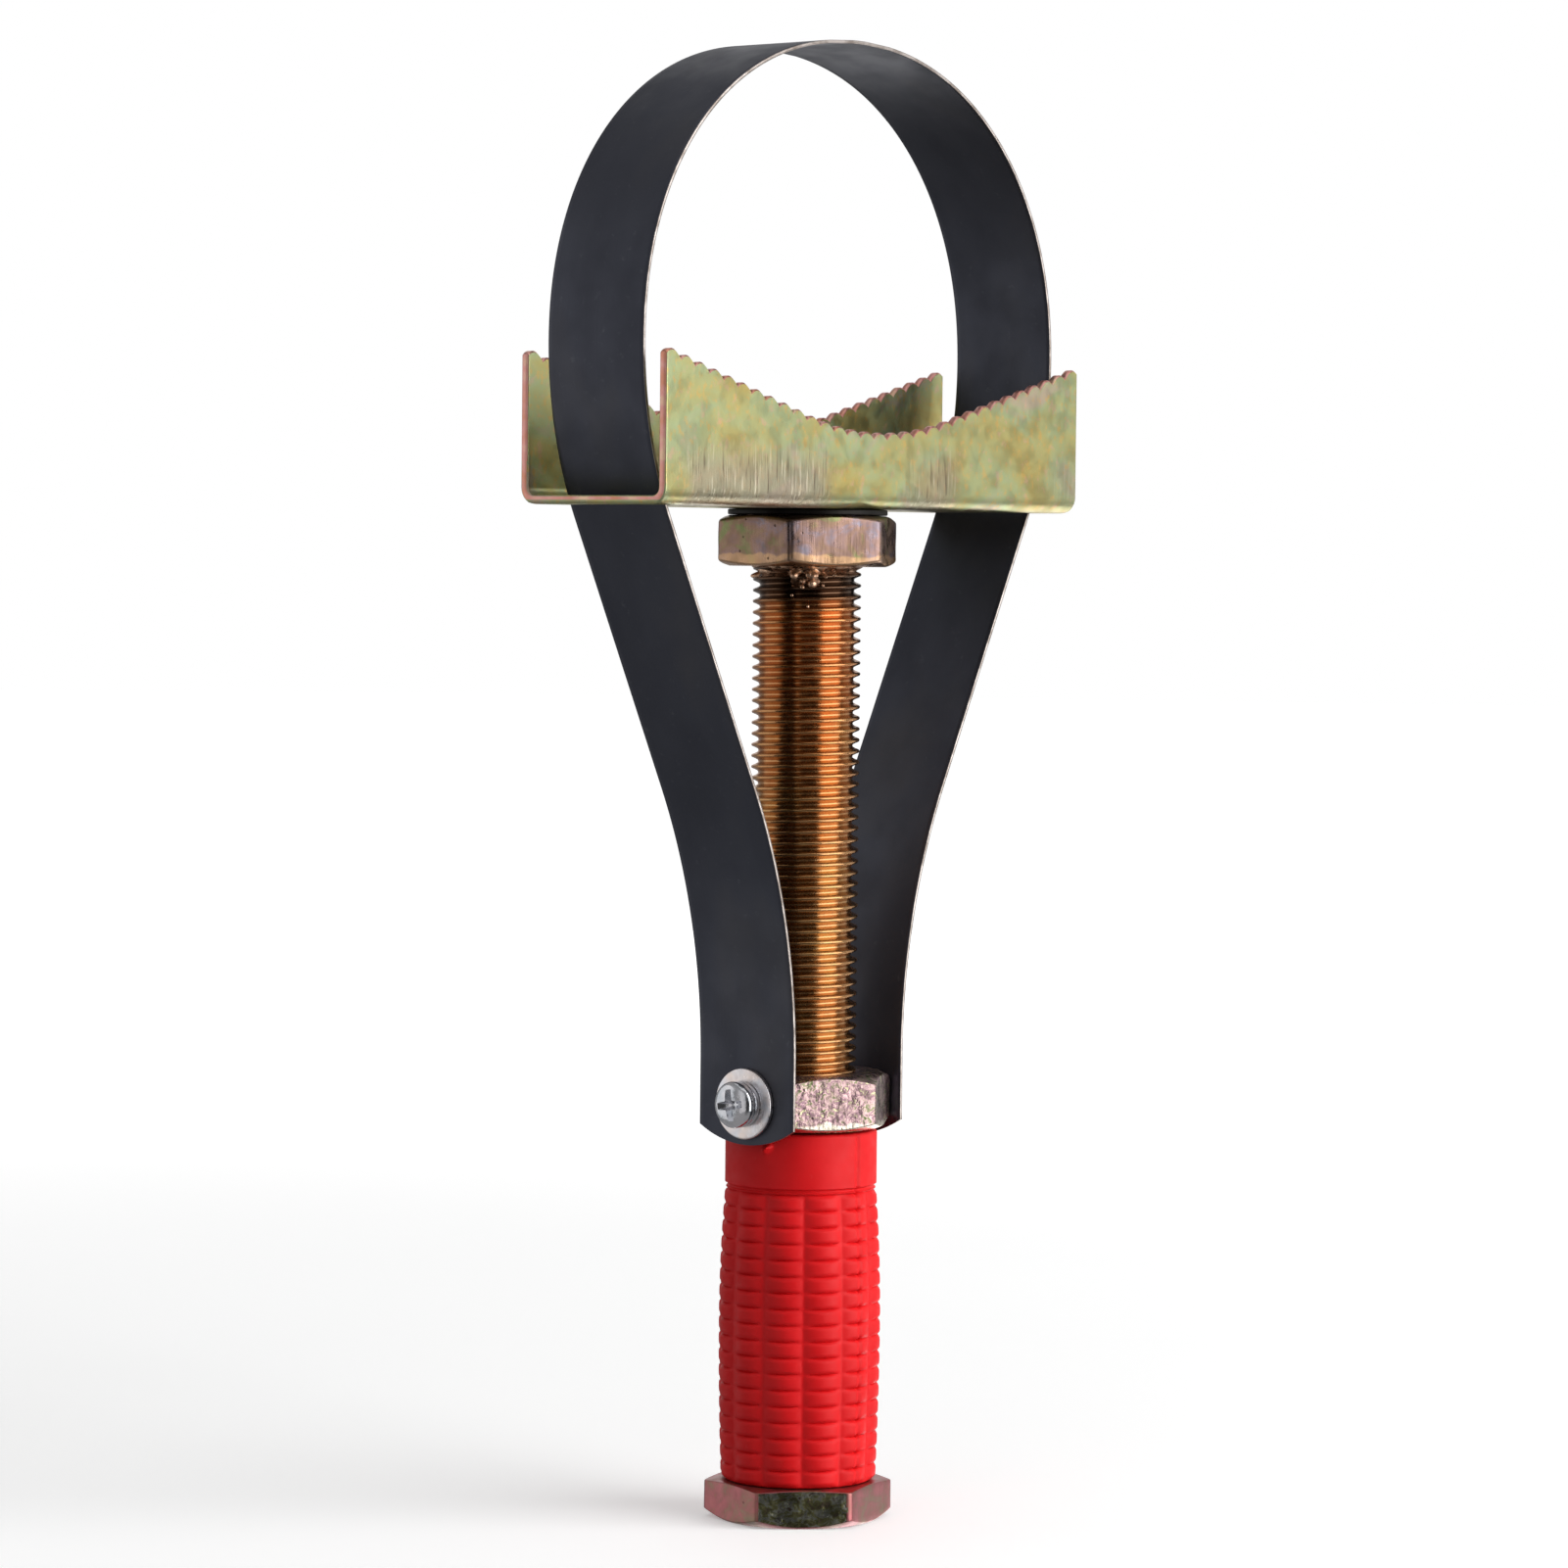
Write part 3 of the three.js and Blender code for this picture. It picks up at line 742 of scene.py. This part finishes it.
def build_welds():
    # angle seen from the front in degrees, depth under the nut, size
    drops = [
        (2, 1.5, 0.70),
        (9, 1.6, 0.55),
        (5.5, 3.1, 0.85),
        (-5, 3.7, 0.42),
        (20, 1.8, 0.40),
        (-16, 5.2, 0.28),
        (1, 7.2, 0.26),
        (17, 3.4, 0.30),
        (152, 2.6, 0.60),
        (214, 3.4, 0.35),
    ]
    part = together(thrust_weld(), *[weld_drop(*drop) for drop in drops])
    bead = mesh_object("thrust_nut_bead", part, [WELD], 60)
    settle(bead, "screw", "weld_metal", "thrust_nut_weld")
    closing = mesh_object("end_nut_bead", end_weld(), [WELD], 60)
    settle(closing, "screw", "weld_metal", "end_nut_weld")


# ---- Saddle ----


def valley(x):
    """Height of the tooth roots above the saddle's underside."""
    reach = abs(x)
    lean = math.atan(VALLEY_SLOPE)
    arc_end = VALLEY_RADIUS * math.sin(lean)
    if reach < arc_end:
        return VALLEY_HEIGHT + VALLEY_RADIUS - math.sqrt(VALLEY_RADIUS**2 - reach**2)
    arc_rise = VALLEY_RADIUS * (1 - math.cos(lean))
    return VALLEY_HEIGHT + arc_rise + VALLEY_SLOPE * (reach - arc_end)


def saddle_section(x, inset):
    """The U section at x as a closed loop, outside then inside. Inset thins it at the ends."""
    bottom, outer, half = low("saddle")[2], high("saddle")[1], high("saddle")[0]
    rim_edge = 0.3
    end_radius = 0.8
    pitch = 2 * half / TEETH
    tooth = TOOTH_HEIGHT * abs(math.sin(math.pi * (x + half) / pitch)) ** 0.85
    rim = valley(x) + tooth - inset
    past = max(abs(x) - (half - end_radius), 0)
    lowest = end_radius - math.sqrt(end_radius**2 - past**2)

    def side(offset):
        wall = outer - offset
        radius = SHEET_BEND - offset
        flange_rows = [0, 0.2, 0.4, 0.6, 0.75, 0.88, 1]
        flange = [
            (wall, SHEET_BEND + (rim - rim_edge - SHEET_BEND) * share) for share in flange_rows
        ]
        turn = np.linspace(0, math.pi / 2, 8)[1:]
        bend = [
            (wall - radius * (1 - math.cos(a)), SHEET_BEND - radius * math.sin(a)) for a in turn
        ]
        web = [((outer - SHEET_BEND) * share, offset) for share in (0.75, 0.5, 0.25)]
        return flange[::-1] + bend + web

    def across(offset, top_offset):
        half_path = [(outer - top_offset, rim)] + side(offset)
        mirrored = [(-y, z) for y, z in half_path[::-1]]
        return half_path + [(0, offset)] + mirrored

    outside = across(inset, inset + rim_edge)
    inside = across(SHEET - inset, SHEET - inset - rim_edge)
    loop = np.array(outside + inside[::-1])
    loop[:, 1] = bottom + np.maximum(loop[:, 1], lowest)
    return np.column_stack([np.full(len(loop), x), loop])


def build_saddle():
    half = high("saddle")[0]
    steps = TEETH * 10
    places = [(half * (2 * i / steps - 1), 0.0) for i in range(1, steps)]
    for inset_share, back in ((0.0, 0.22), (0.35, 0.08), (1.0, 0.0)):
        places.insert(0, (-half + back, 0.25 * inset_share))
        places.append((half - back, 0.25 * inset_share))
    places.sort()
    sections = np.array([saddle_section(x, inset) for x, inset in places])
    points, faces = grid(sections, wrap_columns=True)
    faces += paired_ends(sections)
    saddle = mesh_object("saddle_pressing", (points, faces), [ZINC, CUT_EDGE], 40)
    paint_faces(saddle, 1, is_cut_edge)
    floor = low("saddle")[2]
    slot_middle = (SLOT_INNER + SLOT_OUTER) / 2
    slot_reach = (SLOT_OUTER - SLOT_INNER) / 2
    for side in (-1, 1):
        corners = []
        for x, y in ((-1, -1), (1, -1), (1, 1), (-1, 1)):
            corners.append((side * slot_middle + x * slot_reach, y * SLOT_WIDTH / 2))
        cut(saddle, prism(rounded(corners, 1.2, 6, closed=True), floor - 1, floor + SHEET + 1), 40)
    hole = [(0, floor - 1), (6.3, floor - 1), (6.3, floor + SHEET + 1), (0, floor + SHEET + 1)]
    cut(saddle, revolved(hole, 64), 40)
    settle(saddle, "saddle", "yellow_zinc", "saddle")


def is_cut_edge(centre, normal):
    """The toothed rims and the two ends of the saddle."""
    at_end = abs(centre.x) > high("saddle")[0] - 0.02 and abs(normal.x) > 0.5
    outer = high("saddle")[1]
    in_sheet = outer - SHEET + 0.1 < abs(centre.y) < outer - 0.1
    above_web = centre.z > low("saddle")[2] + SHEET_BEND + 4
    return at_end or (in_sheet and above_web)


def prism(outline, bottom, top):
    """An outline in the XY plane as a closed upright body."""
    centre = np.broadcast_to(outline.mean(axis=0), outline.shape)
    rings = [(centre, bottom), (outline, bottom), (outline, top), (centre, top)]
    points = [np.column_stack([ring_points, np.full(len(outline), z)]) for ring_points, z in rings]
    return grid(points, wrap_columns=True)


# ---- Band ----


def band_centreline():
    """The +X half of the band from the start of its bend to the top of the loop, as (x, z)."""
    start = high("strap_nut")[0] + 0.1 + BAND_THICKNESS / 2
    half_width = high("band_loop")[0] - BAND_THICKNESS / 2
    top = high("band_loop")[2] - BAND_THICKNESS / 2
    sine, cosine = math.sin(LEG_LEAN), math.cos(LEG_LEAN)
    spread_x = half_width - SHOULDER_RADIUS * (1 - cosine) - start
    spread_z = LOOP_WAIST - SHOULDER_RADIUS * sine - LEG_BEND_START
    bend = (spread_z * sine - spread_x * cosine) / (sine**2 - cosine * (1 - cosine))
    points = []
    for angle in np.linspace(0, LEG_LEAN, 30):
        points.append((start + bend * (1 - math.cos(angle)), LEG_BEND_START + bend * math.sin(angle)))
    for angle in np.linspace(LEG_LEAN, 0, 30)[:-1]:
        x = half_width - SHOULDER_RADIUS * (1 - math.cos(angle))
        points.append((x, LOOP_WAIST - SHOULDER_RADIUS * math.sin(angle)))
    power = 2 / LOOP_SQUARENESS
    for angle in np.linspace(0, math.pi / 2, 61):
        x = half_width * max(math.cos(angle), 0) ** power
        points.append((x, LOOP_WAIST + (top - LOOP_WAIST) * math.sin(angle) ** power))
    points[-1] = (0.0, top)
    return np.array(points)


def band_section():
    """The band's section as (y, offset) pairs, outside then inside, with eased slit edges."""
    half = high("band_loop")[1]
    thick = BAND_THICKNESS / 2
    ease = 0.1
    middle = np.linspace(-(half - ease), half - ease, 25)
    outside = [(-half, thick - ease)] + [(y, thick) for y in middle] + [(half, thick - ease)]
    inside = [(y, -offset) for y, offset in outside[::-1]]
    return np.array(outside + inside)


def strip(centreline):
    """Sections along a centreline: rows run along the band, columns round its section."""
    along = np.gradient(centreline, axis=0)
    along /= np.linalg.norm(along, axis=1)[:, None]
    section = band_section()
    rows = []
    for (x, z), (dx, dz) in zip(centreline, along):
        offset = section[:, 1]
        rows.append(np.column_stack([x + dz * offset, section[:, 0], z - dx * offset]))
    return np.array(rows)


def part_of(centreline, start, end):
    """The stretch between two heights on the rising +X half, ending exactly on them."""
    heights = centreline[:, 1]
    inside = centreline[(heights > start + 0.3) & (heights < end - 0.3)]
    ends = [(np.interp(z, heights, centreline[:, 0]), z) for z in (start, end)]
    return np.vstack([ends[0], inside, ends[1]])


def is_slit_edge(centre, normal):
    return abs(normal.y) > 0.6 or (centre.z < 75 and normal.z < -0.5)


def build_band():
    seam_low, seam_high = high("band_leg_right")[2], low("band_loop")[2]
    centreline = band_centreline()
    rising = part_of(centreline[:-1], seam_high, centreline[-2, 1])
    falling = rising[::-1] * (-1, 1)
    sections = strip(np.vstack([rising, centreline[-1:], falling]))
    points, faces = grid(sections, wrap_columns=True)
    faces += paired_ends(sections)
    loop = mesh_object("filter_band", (points, faces), [BLUED, SHEARED], 50)
    paint_faces(loop, 1, is_slit_edge)
    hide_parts("band_loop")
    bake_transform(loop)
    for side, name in ((1, "right"), (-1, "left")):
        build_leg(side, name, centreline, seam_low)


def build_leg(side, name, centreline, seam):
    end = low("band_leg_right")[2]
    leg = strip(part_of(centreline, LEG_BEND_START, seam))
    half = high("band_loop")[1]
    radius = (half**2 + BAND_END_SAG**2) / (2 * BAND_END_SAG)
    foot_rows = []
    for share in (0, 0.02, 0.2, 0.4, 0.6, 0.8):
        row = leg[0].copy()
        arc = end + radius - np.sqrt(radius**2 - row[:, 1] ** 2)
        row[:, 2] = arc + (LEG_BEND_START - arc) * share
        foot_rows.append(row)
    sections = np.concatenate([foot_rows, leg])
    points, faces = grid(sections, wrap_columns=True)
    faces += paired_ends(sections)
    points = points * (side, side, 1)
    piece = mesh_object("band_end_" + name, (points, faces), [BLUED, SHEARED], 50)
    screw_height = (low("strap_nut")[2] + high("strap_nut")[2]) / 2
    hole = [(0, -1), (2.3, -1), (2.3, 4), (0, 4)]
    along_x = Matrix.Translation((side * high("strap_nut")[0], 0, screw_height))
    along_x @= Matrix.Rotation(side * math.pi / 2, 4, "Y")
    cut(piece, turned_by(revolved(hole, 48), along_x), 50)
    paint_faces(piece, 1, is_slit_edge)
    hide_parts("band_leg_" + name)
    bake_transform(piece)


# ---- Strap screws and their washers ----


def cross_recess():
    """The Phillips recess as a closed tapering cross, its mouth above Z = 0."""
    arm, width = 3.0, 0.78
    corners = []
    for i in range(4):
        turn = np.array([[math.cos(i * math.pi / 2), -math.sin(i * math.pi / 2)],
                         [math.sin(i * math.pi / 2), math.cos(i * math.pi / 2)]])
        for corner in ((width, -width), (arm, -width * 0.8), (arm, width * 0.8)):
            corners.append(turn @ corner)
    outline = rounded(corners, [0.22, 0.12, 0.12] * 4, 3, closed=True)
    rows = []
    for share, height in ((0, 1.0), (1.12, 1.0), (1.0, 0.0), (0.5, -1.5), (0.2, -1.8), (0, -1.8)):
        rows.append(np.column_stack([outline * share, np.full(len(outline), height)]))
    return grid(rows, wrap_columns=True)


def spring_washer(thickness, outer):
    """One turn of square wire, its cut ends standing slightly apart."""
    inner = 2.3
    apart = 0.12
    section = rounded(
        [(inner, 0), (outer, 0), (outer, thickness), (inner, thickness)], 0.14, 2, closed=True
    )
    sweep = np.linspace(math.radians(6), math.radians(354), 90)
    rows = []
    for angle in sweep:
        lift = apart * (angle / math.pi - 1)
        squeeze = (section[:, 1] - thickness / 2) * 0.9 + thickness / 2 + lift * 0.5
        slant = angle + 0.10 * (section[:, 1] / thickness - 0.5)
        rows.append(
            np.column_stack([section[:, 0] * np.cos(slant), section[:, 0] * np.sin(slant), squeeze])
        )
    rows = np.array(rows)
    points, faces = grid(rows, wrap_columns=True)
    columns = rows.shape[1]
    last = (len(rows) - 1) * columns
    faces.append(list(range(columns)))
    faces.append([last + i for i in reversed(range(columns))])
    return points, faces


def pan_head(reach):
    """A pan head M4 screw along +Z with its seat at Z = 0 and its shank reaching below it."""
    head, height, root = 4.2, 2.6, 1.6
    columns = 48
    tip = [(0, -reach), (root - 0.4, -reach), (root, -reach + 0.4)]
    seat = [(root, -0.1), (root, 0), (head - 0.25, 0), (head, 0.2), (head, height * 0.45)]
    dome = []
    for angle in np.linspace(0, math.pi / 2, 10)[1:]:
        radius = head * math.cos(angle) ** 0.75 if angle < 1.57 else 0
        dome.append((radius, height * (0.45 + 0.55 * math.sin(angle))))
    turns = thread(root, 2.0, M4_PITCH, -reach + 0.4, -0.1, columns)
    return together(revolved(tip, columns), turns, revolved(seat + dome, columns))


def build_strap_fasteners():
    screw_height = (low("strap_nut")[2] + high("strap_nut")[2]) / 2
    for side, name in ((1, "right"), (-1, "left")):

        def along_x(seat, spin=0.0):
            facing = Matrix.Rotation(side * math.pi / 2, 4, "Y")
            place = Matrix.Translation((side * seat, 0, screw_height))
            return place @ facing @ Matrix.Rotation(math.radians(spin), 4, "Z")

        def ends(node):
            reach = sorted((abs(low(node)[0]), abs(high(node)[0])))
            return reach[0], reach[1]

        seat, top = ends("flat_washer_" + name)
        outer = high("flat_washer_" + name)[1]
        section = [(2.25, 0), (outer, 0), (outer, top - seat), (2.25, top - seat)]
        flat = revolved(rounded(section, [0.1, 0.2, 0.3, 0.2], 3, closed=True), 96, closed=True)
        washer = mesh_object("flat_washer_disc_" + name, turned_by(flat, along_x(seat)), [WASHER_ZINC])
        settle(washer, "carriage", "bright_zinc", "flat_washer_" + name)

        seat, top = ends("spring_washer_" + name)
        outer = high("spring_washer_" + name)[1]
        wire = turned_by(spring_washer(top - seat, outer), along_x(seat, 100))
        split = mesh_object("spring_washer_coil_" + name, wire, [SCREW_ZINC])
        settle(split, "carriage", "bright_zinc", "spring_washer_" + name)

        tip, head_top = ends("strap_screw_" + name)
        seat = top + 0.1
        screw = mesh_object(
            "strap_screw_pan_" + name, turned_by(pan_head(seat - tip), along_x(seat)), [SCREW_ZINC]
        )
        cut(screw, turned_by(cross_recess(), along_x(head_top - 0.15, 8)))
        settle(screw, "carriage", "bright_zinc", "strap_screw_" + name)


# ---- Grip ----


def grip_lobe(facing):
    """How far a place round the grip is up its lobe, from 0 in the valleys to 1 on top."""
    from_line = abs((facing - PARTING_LINE + 180) % 360 - 180)
    if from_line < GRIP_LOBE / 2:
        return 1 - (from_line / (GRIP_LOBE / 2)) ** 2
    across = ((from_line - GRIP_LOBE / 2) % GRIP_LOBE) / GRIP_LOBE * 2 - 1
    return 1 - across**2


def grip_rib(share):
    """The ribs' form along one pitch: a broad crown between narrow grooves."""
    away = abs(share - 0.5) * 2
    return 1 - away**5


def build_grip():
    bottom, top = low("grip")[2], high("grip")[2]
    bore = NUT_BORE
    collar, collar_height = 13.8, 10.0
    neck, neck_height = 13.25, 0.9
    foot, belly, head, belly_at = 14.3, 14.9, 13.95, 0.55
    rib_depth = 0.8
    barrel_top = top - collar_height - neck_height
    columns = 300
    angles = np.arange(columns) * 2 * np.pi / columns
    facings = np.degrees(angles - FRONT)
    lobes = np.array([grip_lobe(facing) for facing in facings])
    from_line = np.radians(np.abs((facings - PARTING_LINE + 180) % 360 - 180)) * collar
    far_line = np.radians(np.abs((facings - PARTING_LINE) % 360 - 180)) * collar
    parting = 0.36 * np.exp(-((from_line / 0.3) ** 2)) + 0.25 * np.exp(-((far_line / 0.3) ** 2))
    flash_facing, flash_height = -26.0, top - 2.6

    rows = []

    def add_row(radius, height):
        radius = np.broadcast_to(radius, columns)
        rows.append(
            np.stack([radius * np.cos(angles), radius * np.sin(angles), np.full(columns, height)], -1)
        )

    add_row(bore, bottom)
    add_row(foot - rib_depth - 0.3, bottom)
    steps = GRIP_RIBS * 10
    for i in range(steps + 1):
        share = i / steps
        toward = (belly_at - share) / belly_at if share < belly_at else (share - belly_at) / (1 - belly_at)
        edge = foot if share < belly_at else head
        barrel = belly + (edge - belly) * toward**2
        rib = grip_rib((i % 10) / 10)
        ends = min(1.0, i / 3 + 0.2, (steps - i) / 3 + 0.2)
        radius = barrel - rib_depth + rib_depth * lobes * (0.12 + 0.88 * rib) * ends
        radius = radius - parting * (1.6 - 0.8 * rib)
        add_row(radius, bottom + 0.15 + (barrel_top - bottom - 0.15) * share)
    for radius, height in (
        (neck + 0.15, barrel_top + 0.1),
        (neck + 0.35, barrel_top + 0.22),
        (neck + 0.35, barrel_top + 0.36),
        (neck, barrel_top + 0.5),
        (neck - 0.05, barrel_top + 0.75),
        (neck + 0.1, barrel_top + neck_height),
    ):
        add_row(radius - parting, height)
    collar_bottom = barrel_top + neck_height
    for height in np.linspace(collar_bottom + 0.25, top - 0.7, 30):
        flash = np.zeros(columns)
        for j, facing in enumerate(facings):
            across = math.radians((facing - flash_facing + 180) % 360 - 180) * collar
            along = (across * 0.8 + (height - flash_height) * 0.6) / 0.95
            aside = (across * -0.6 + (height - flash_height) * 0.8) / 0.42
            flash[j] = 1.5 * math.exp(-(along**4) - aside**2)
        add_row(collar - parting + flash, height)
    for angle in np.linspace(0.2, math.pi / 2, 6):
        add_row(collar - 0.7 * (1 - math.cos(angle)) - parting * 0.8, top - 0.7 * (1 - math.sin(angle)))
    add_row(bore + 0.3, top)
    add_row(bore, top - 0.3)
    points, faces = grid(rows, wrap_rows=True, wrap_columns=True)
    grip = mesh_object("grip_sleeve", (points, faces), [VINYL], 60)
    settle(grip, "screw", "red_grip", "grip")


# ---- Studio ----


def build_camera():
    distance = 996.6
    target = Vector((0, 0, 134.5))
    roll = math.radians(0.61)
    azimuth, elevation = math.radians(CAMERA_AZIMUTH), math.radians(CAMERA_ELEVATION)
    back = Vector(
        (
            math.sin(azimuth) * math.cos(elevation),
            -math.cos(azimuth) * math.cos(elevation),
            math.sin(elevation),
        )
    )
    level = Vector((math.cos(azimuth), math.sin(azimuth), 0))
    up = back.cross(level)
    right = level * math.cos(roll) + up * math.sin(roll)
    top = back.cross(right)
    camera = bpy.data.cameras.new("camera")
    camera.sensor_width = 36
    camera.lens = 126
    camera.shift_x = -0.0134
    camera.shift_y = -0.0031
    camera.clip_start, camera.clip_end = 0.05, 60
    obj = bpy.data.objects.new("camera", camera)
    facing = Matrix((right, top, back)).transposed().to_4x4()
    obj.matrix_world = Matrix.Translation((target + back * distance) * MM) @ facing
    bpy.context.scene.collection.objects.link(obj)
    bpy.context.scene.camera = obj


def panel(name, facing, height, distance, width, tall, radiance, shows="all"):
    """A soft panel round the wrench, its angle seen from the front and its brightness a radiance.
    It gives all its light, or only "reflections", or only "diffuse" light."""
    middle = Vector((0, 0, (cad_low.z + cad_high.z) / 2))
    angle = FRONT + math.radians(facing)
    light = bpy.data.lights.new(name, "AREA")
    light.shape = "RECTANGLE"
    light.size, light.size_y = width, tall
    light.energy = radiance * math.pi * width * tall
    obj = bpy.data.objects.new(name, light)
    place = Vector((math.cos(angle) * distance, math.sin(angle) * distance, height))
    toward = middle - place
    obj.matrix_world = Matrix.Translation(place) @ toward.to_track_quat("-Z", "Y").to_matrix().to_4x4()
    obj.visible_diffuse = shows != "reflections"
    obj.visible_glossy = shows != "diffuse"
    bpy.context.scene.collection.objects.link(obj)


def build_lights():
    panel("key", 64, 0.35, 1.0, 1.02, 1.5, 2.8)
    panel("side", 76, 0.30, 1.0, 0.9, 1.2, 1.5, "diffuse")
    panel("fill", -34, 0.30, 1.2, 0.80, 1.4, 0.35)
    panel("overhead", 0, 1.5, 0.15, 1.4, 1.4, 0.6)
    panel("card_left", -96, 0.25, 1.3, 1.3, 1.5, 0.6, "reflections")
    panel("card_right", 128, 0.25, 1.3, 1.2, 1.5, 0.4, "reflections")
    panel("card_low", 155, -0.62, 1.0, 1.2, 0.8, 2.2, "reflections")
    panel("back", 180, 0.6, 1.4, 1.2, 1.2, 0.5)


def build_world():
    """White behind the wrench, and a grey room that is darkest on the camera's side."""
    world = bpy.data.worlds.new("studio")
    world.use_nodes = True
    tree = world.node_tree
    tree.nodes.clear()

    def node(kind, **settings):
        made = tree.nodes.new("ShaderNode" + kind)
        for setting, value in settings.items():
            setattr(made, setting, value)
        return made

    direction = node("TexCoord")
    toward_front = node("VectorMath", operation="DOT_PRODUCT")
    toward_front.inputs[1].default_value = (
        math.cos(FRONT + math.radians(8)),
        math.sin(FRONT + math.radians(8)),
        0,
    )
    tree.links.new(direction.outputs["Generated"], toward_front.inputs[0])
    room = node("MapRange", interpolation_type="SMOOTHSTEP")
    room.inputs["From Min"].default_value = 0.70
    room.inputs["From Max"].default_value = 0.97
    room.inputs["To Min"].default_value = 0.30
    room.inputs["To Max"].default_value = 0.05
    tree.links.new(toward_front.outputs["Value"], room.inputs["Value"])
    reflected = node("Background")
    tree.links.new(room.outputs["Result"], reflected.inputs["Strength"])
    reflected.inputs["Color"].default_value = (1, 1, 1, 1)
    backdrop = node("Background")
    backdrop.inputs["Color"].default_value = (1, 1, 1, 1)
    rays = node("LightPath")
    either = node("MixShader")
    output = node("OutputWorld")
    tree.links.new(rays.outputs["Is Camera Ray"], either.inputs["Fac"])
    tree.links.new(reflected.outputs[0], either.inputs[1])
    tree.links.new(backdrop.outputs[0], either.inputs[2])
    tree.links.new(either.outputs[0], output.inputs["Surface"])
    bpy.context.scene.world = world


def build_floor():
    """A pale round floor, wide enough to meet the white background."""
    radius = 6000.0
    part = revolved([(0, -0.02), (radius * 0.1, -0.02), (radius, -0.02)], 64)
    finish = Finish("floor", Roughness=0.8, Specular_IOR_Level=0.1)
    tone = finish.ramp(
        finish.noise(240), (0.3, (0.84, 0.84, 0.84, 1)), (0.7, (0.86, 0.86, 0.86, 1))
    )
    finish.shader.inputs["Emission Color"].default_value = (1, 1, 1, 1)
    away = finish.node("VectorMath", {"Vector": finish.place()}, operation="LENGTH")
    glow = finish.range(away.outputs["Value"], 60, 1500, 0.30, 0.80)
    floor = mesh_object("floor", part, [finish.set(Base_Color=tone, Emission_Strength=glow)])
    floor.visible_glossy = False
    floor.visible_diffuse = False


build_nuts()
build_screw_rod()
build_saddle_washers()
build_welds()
build_saddle()
build_band()
build_strap_fasteners()
build_grip()
build_camera()
build_lights()
build_world()
build_floor()
bpy.context.scene.view_settings.view_transform = "Standard"
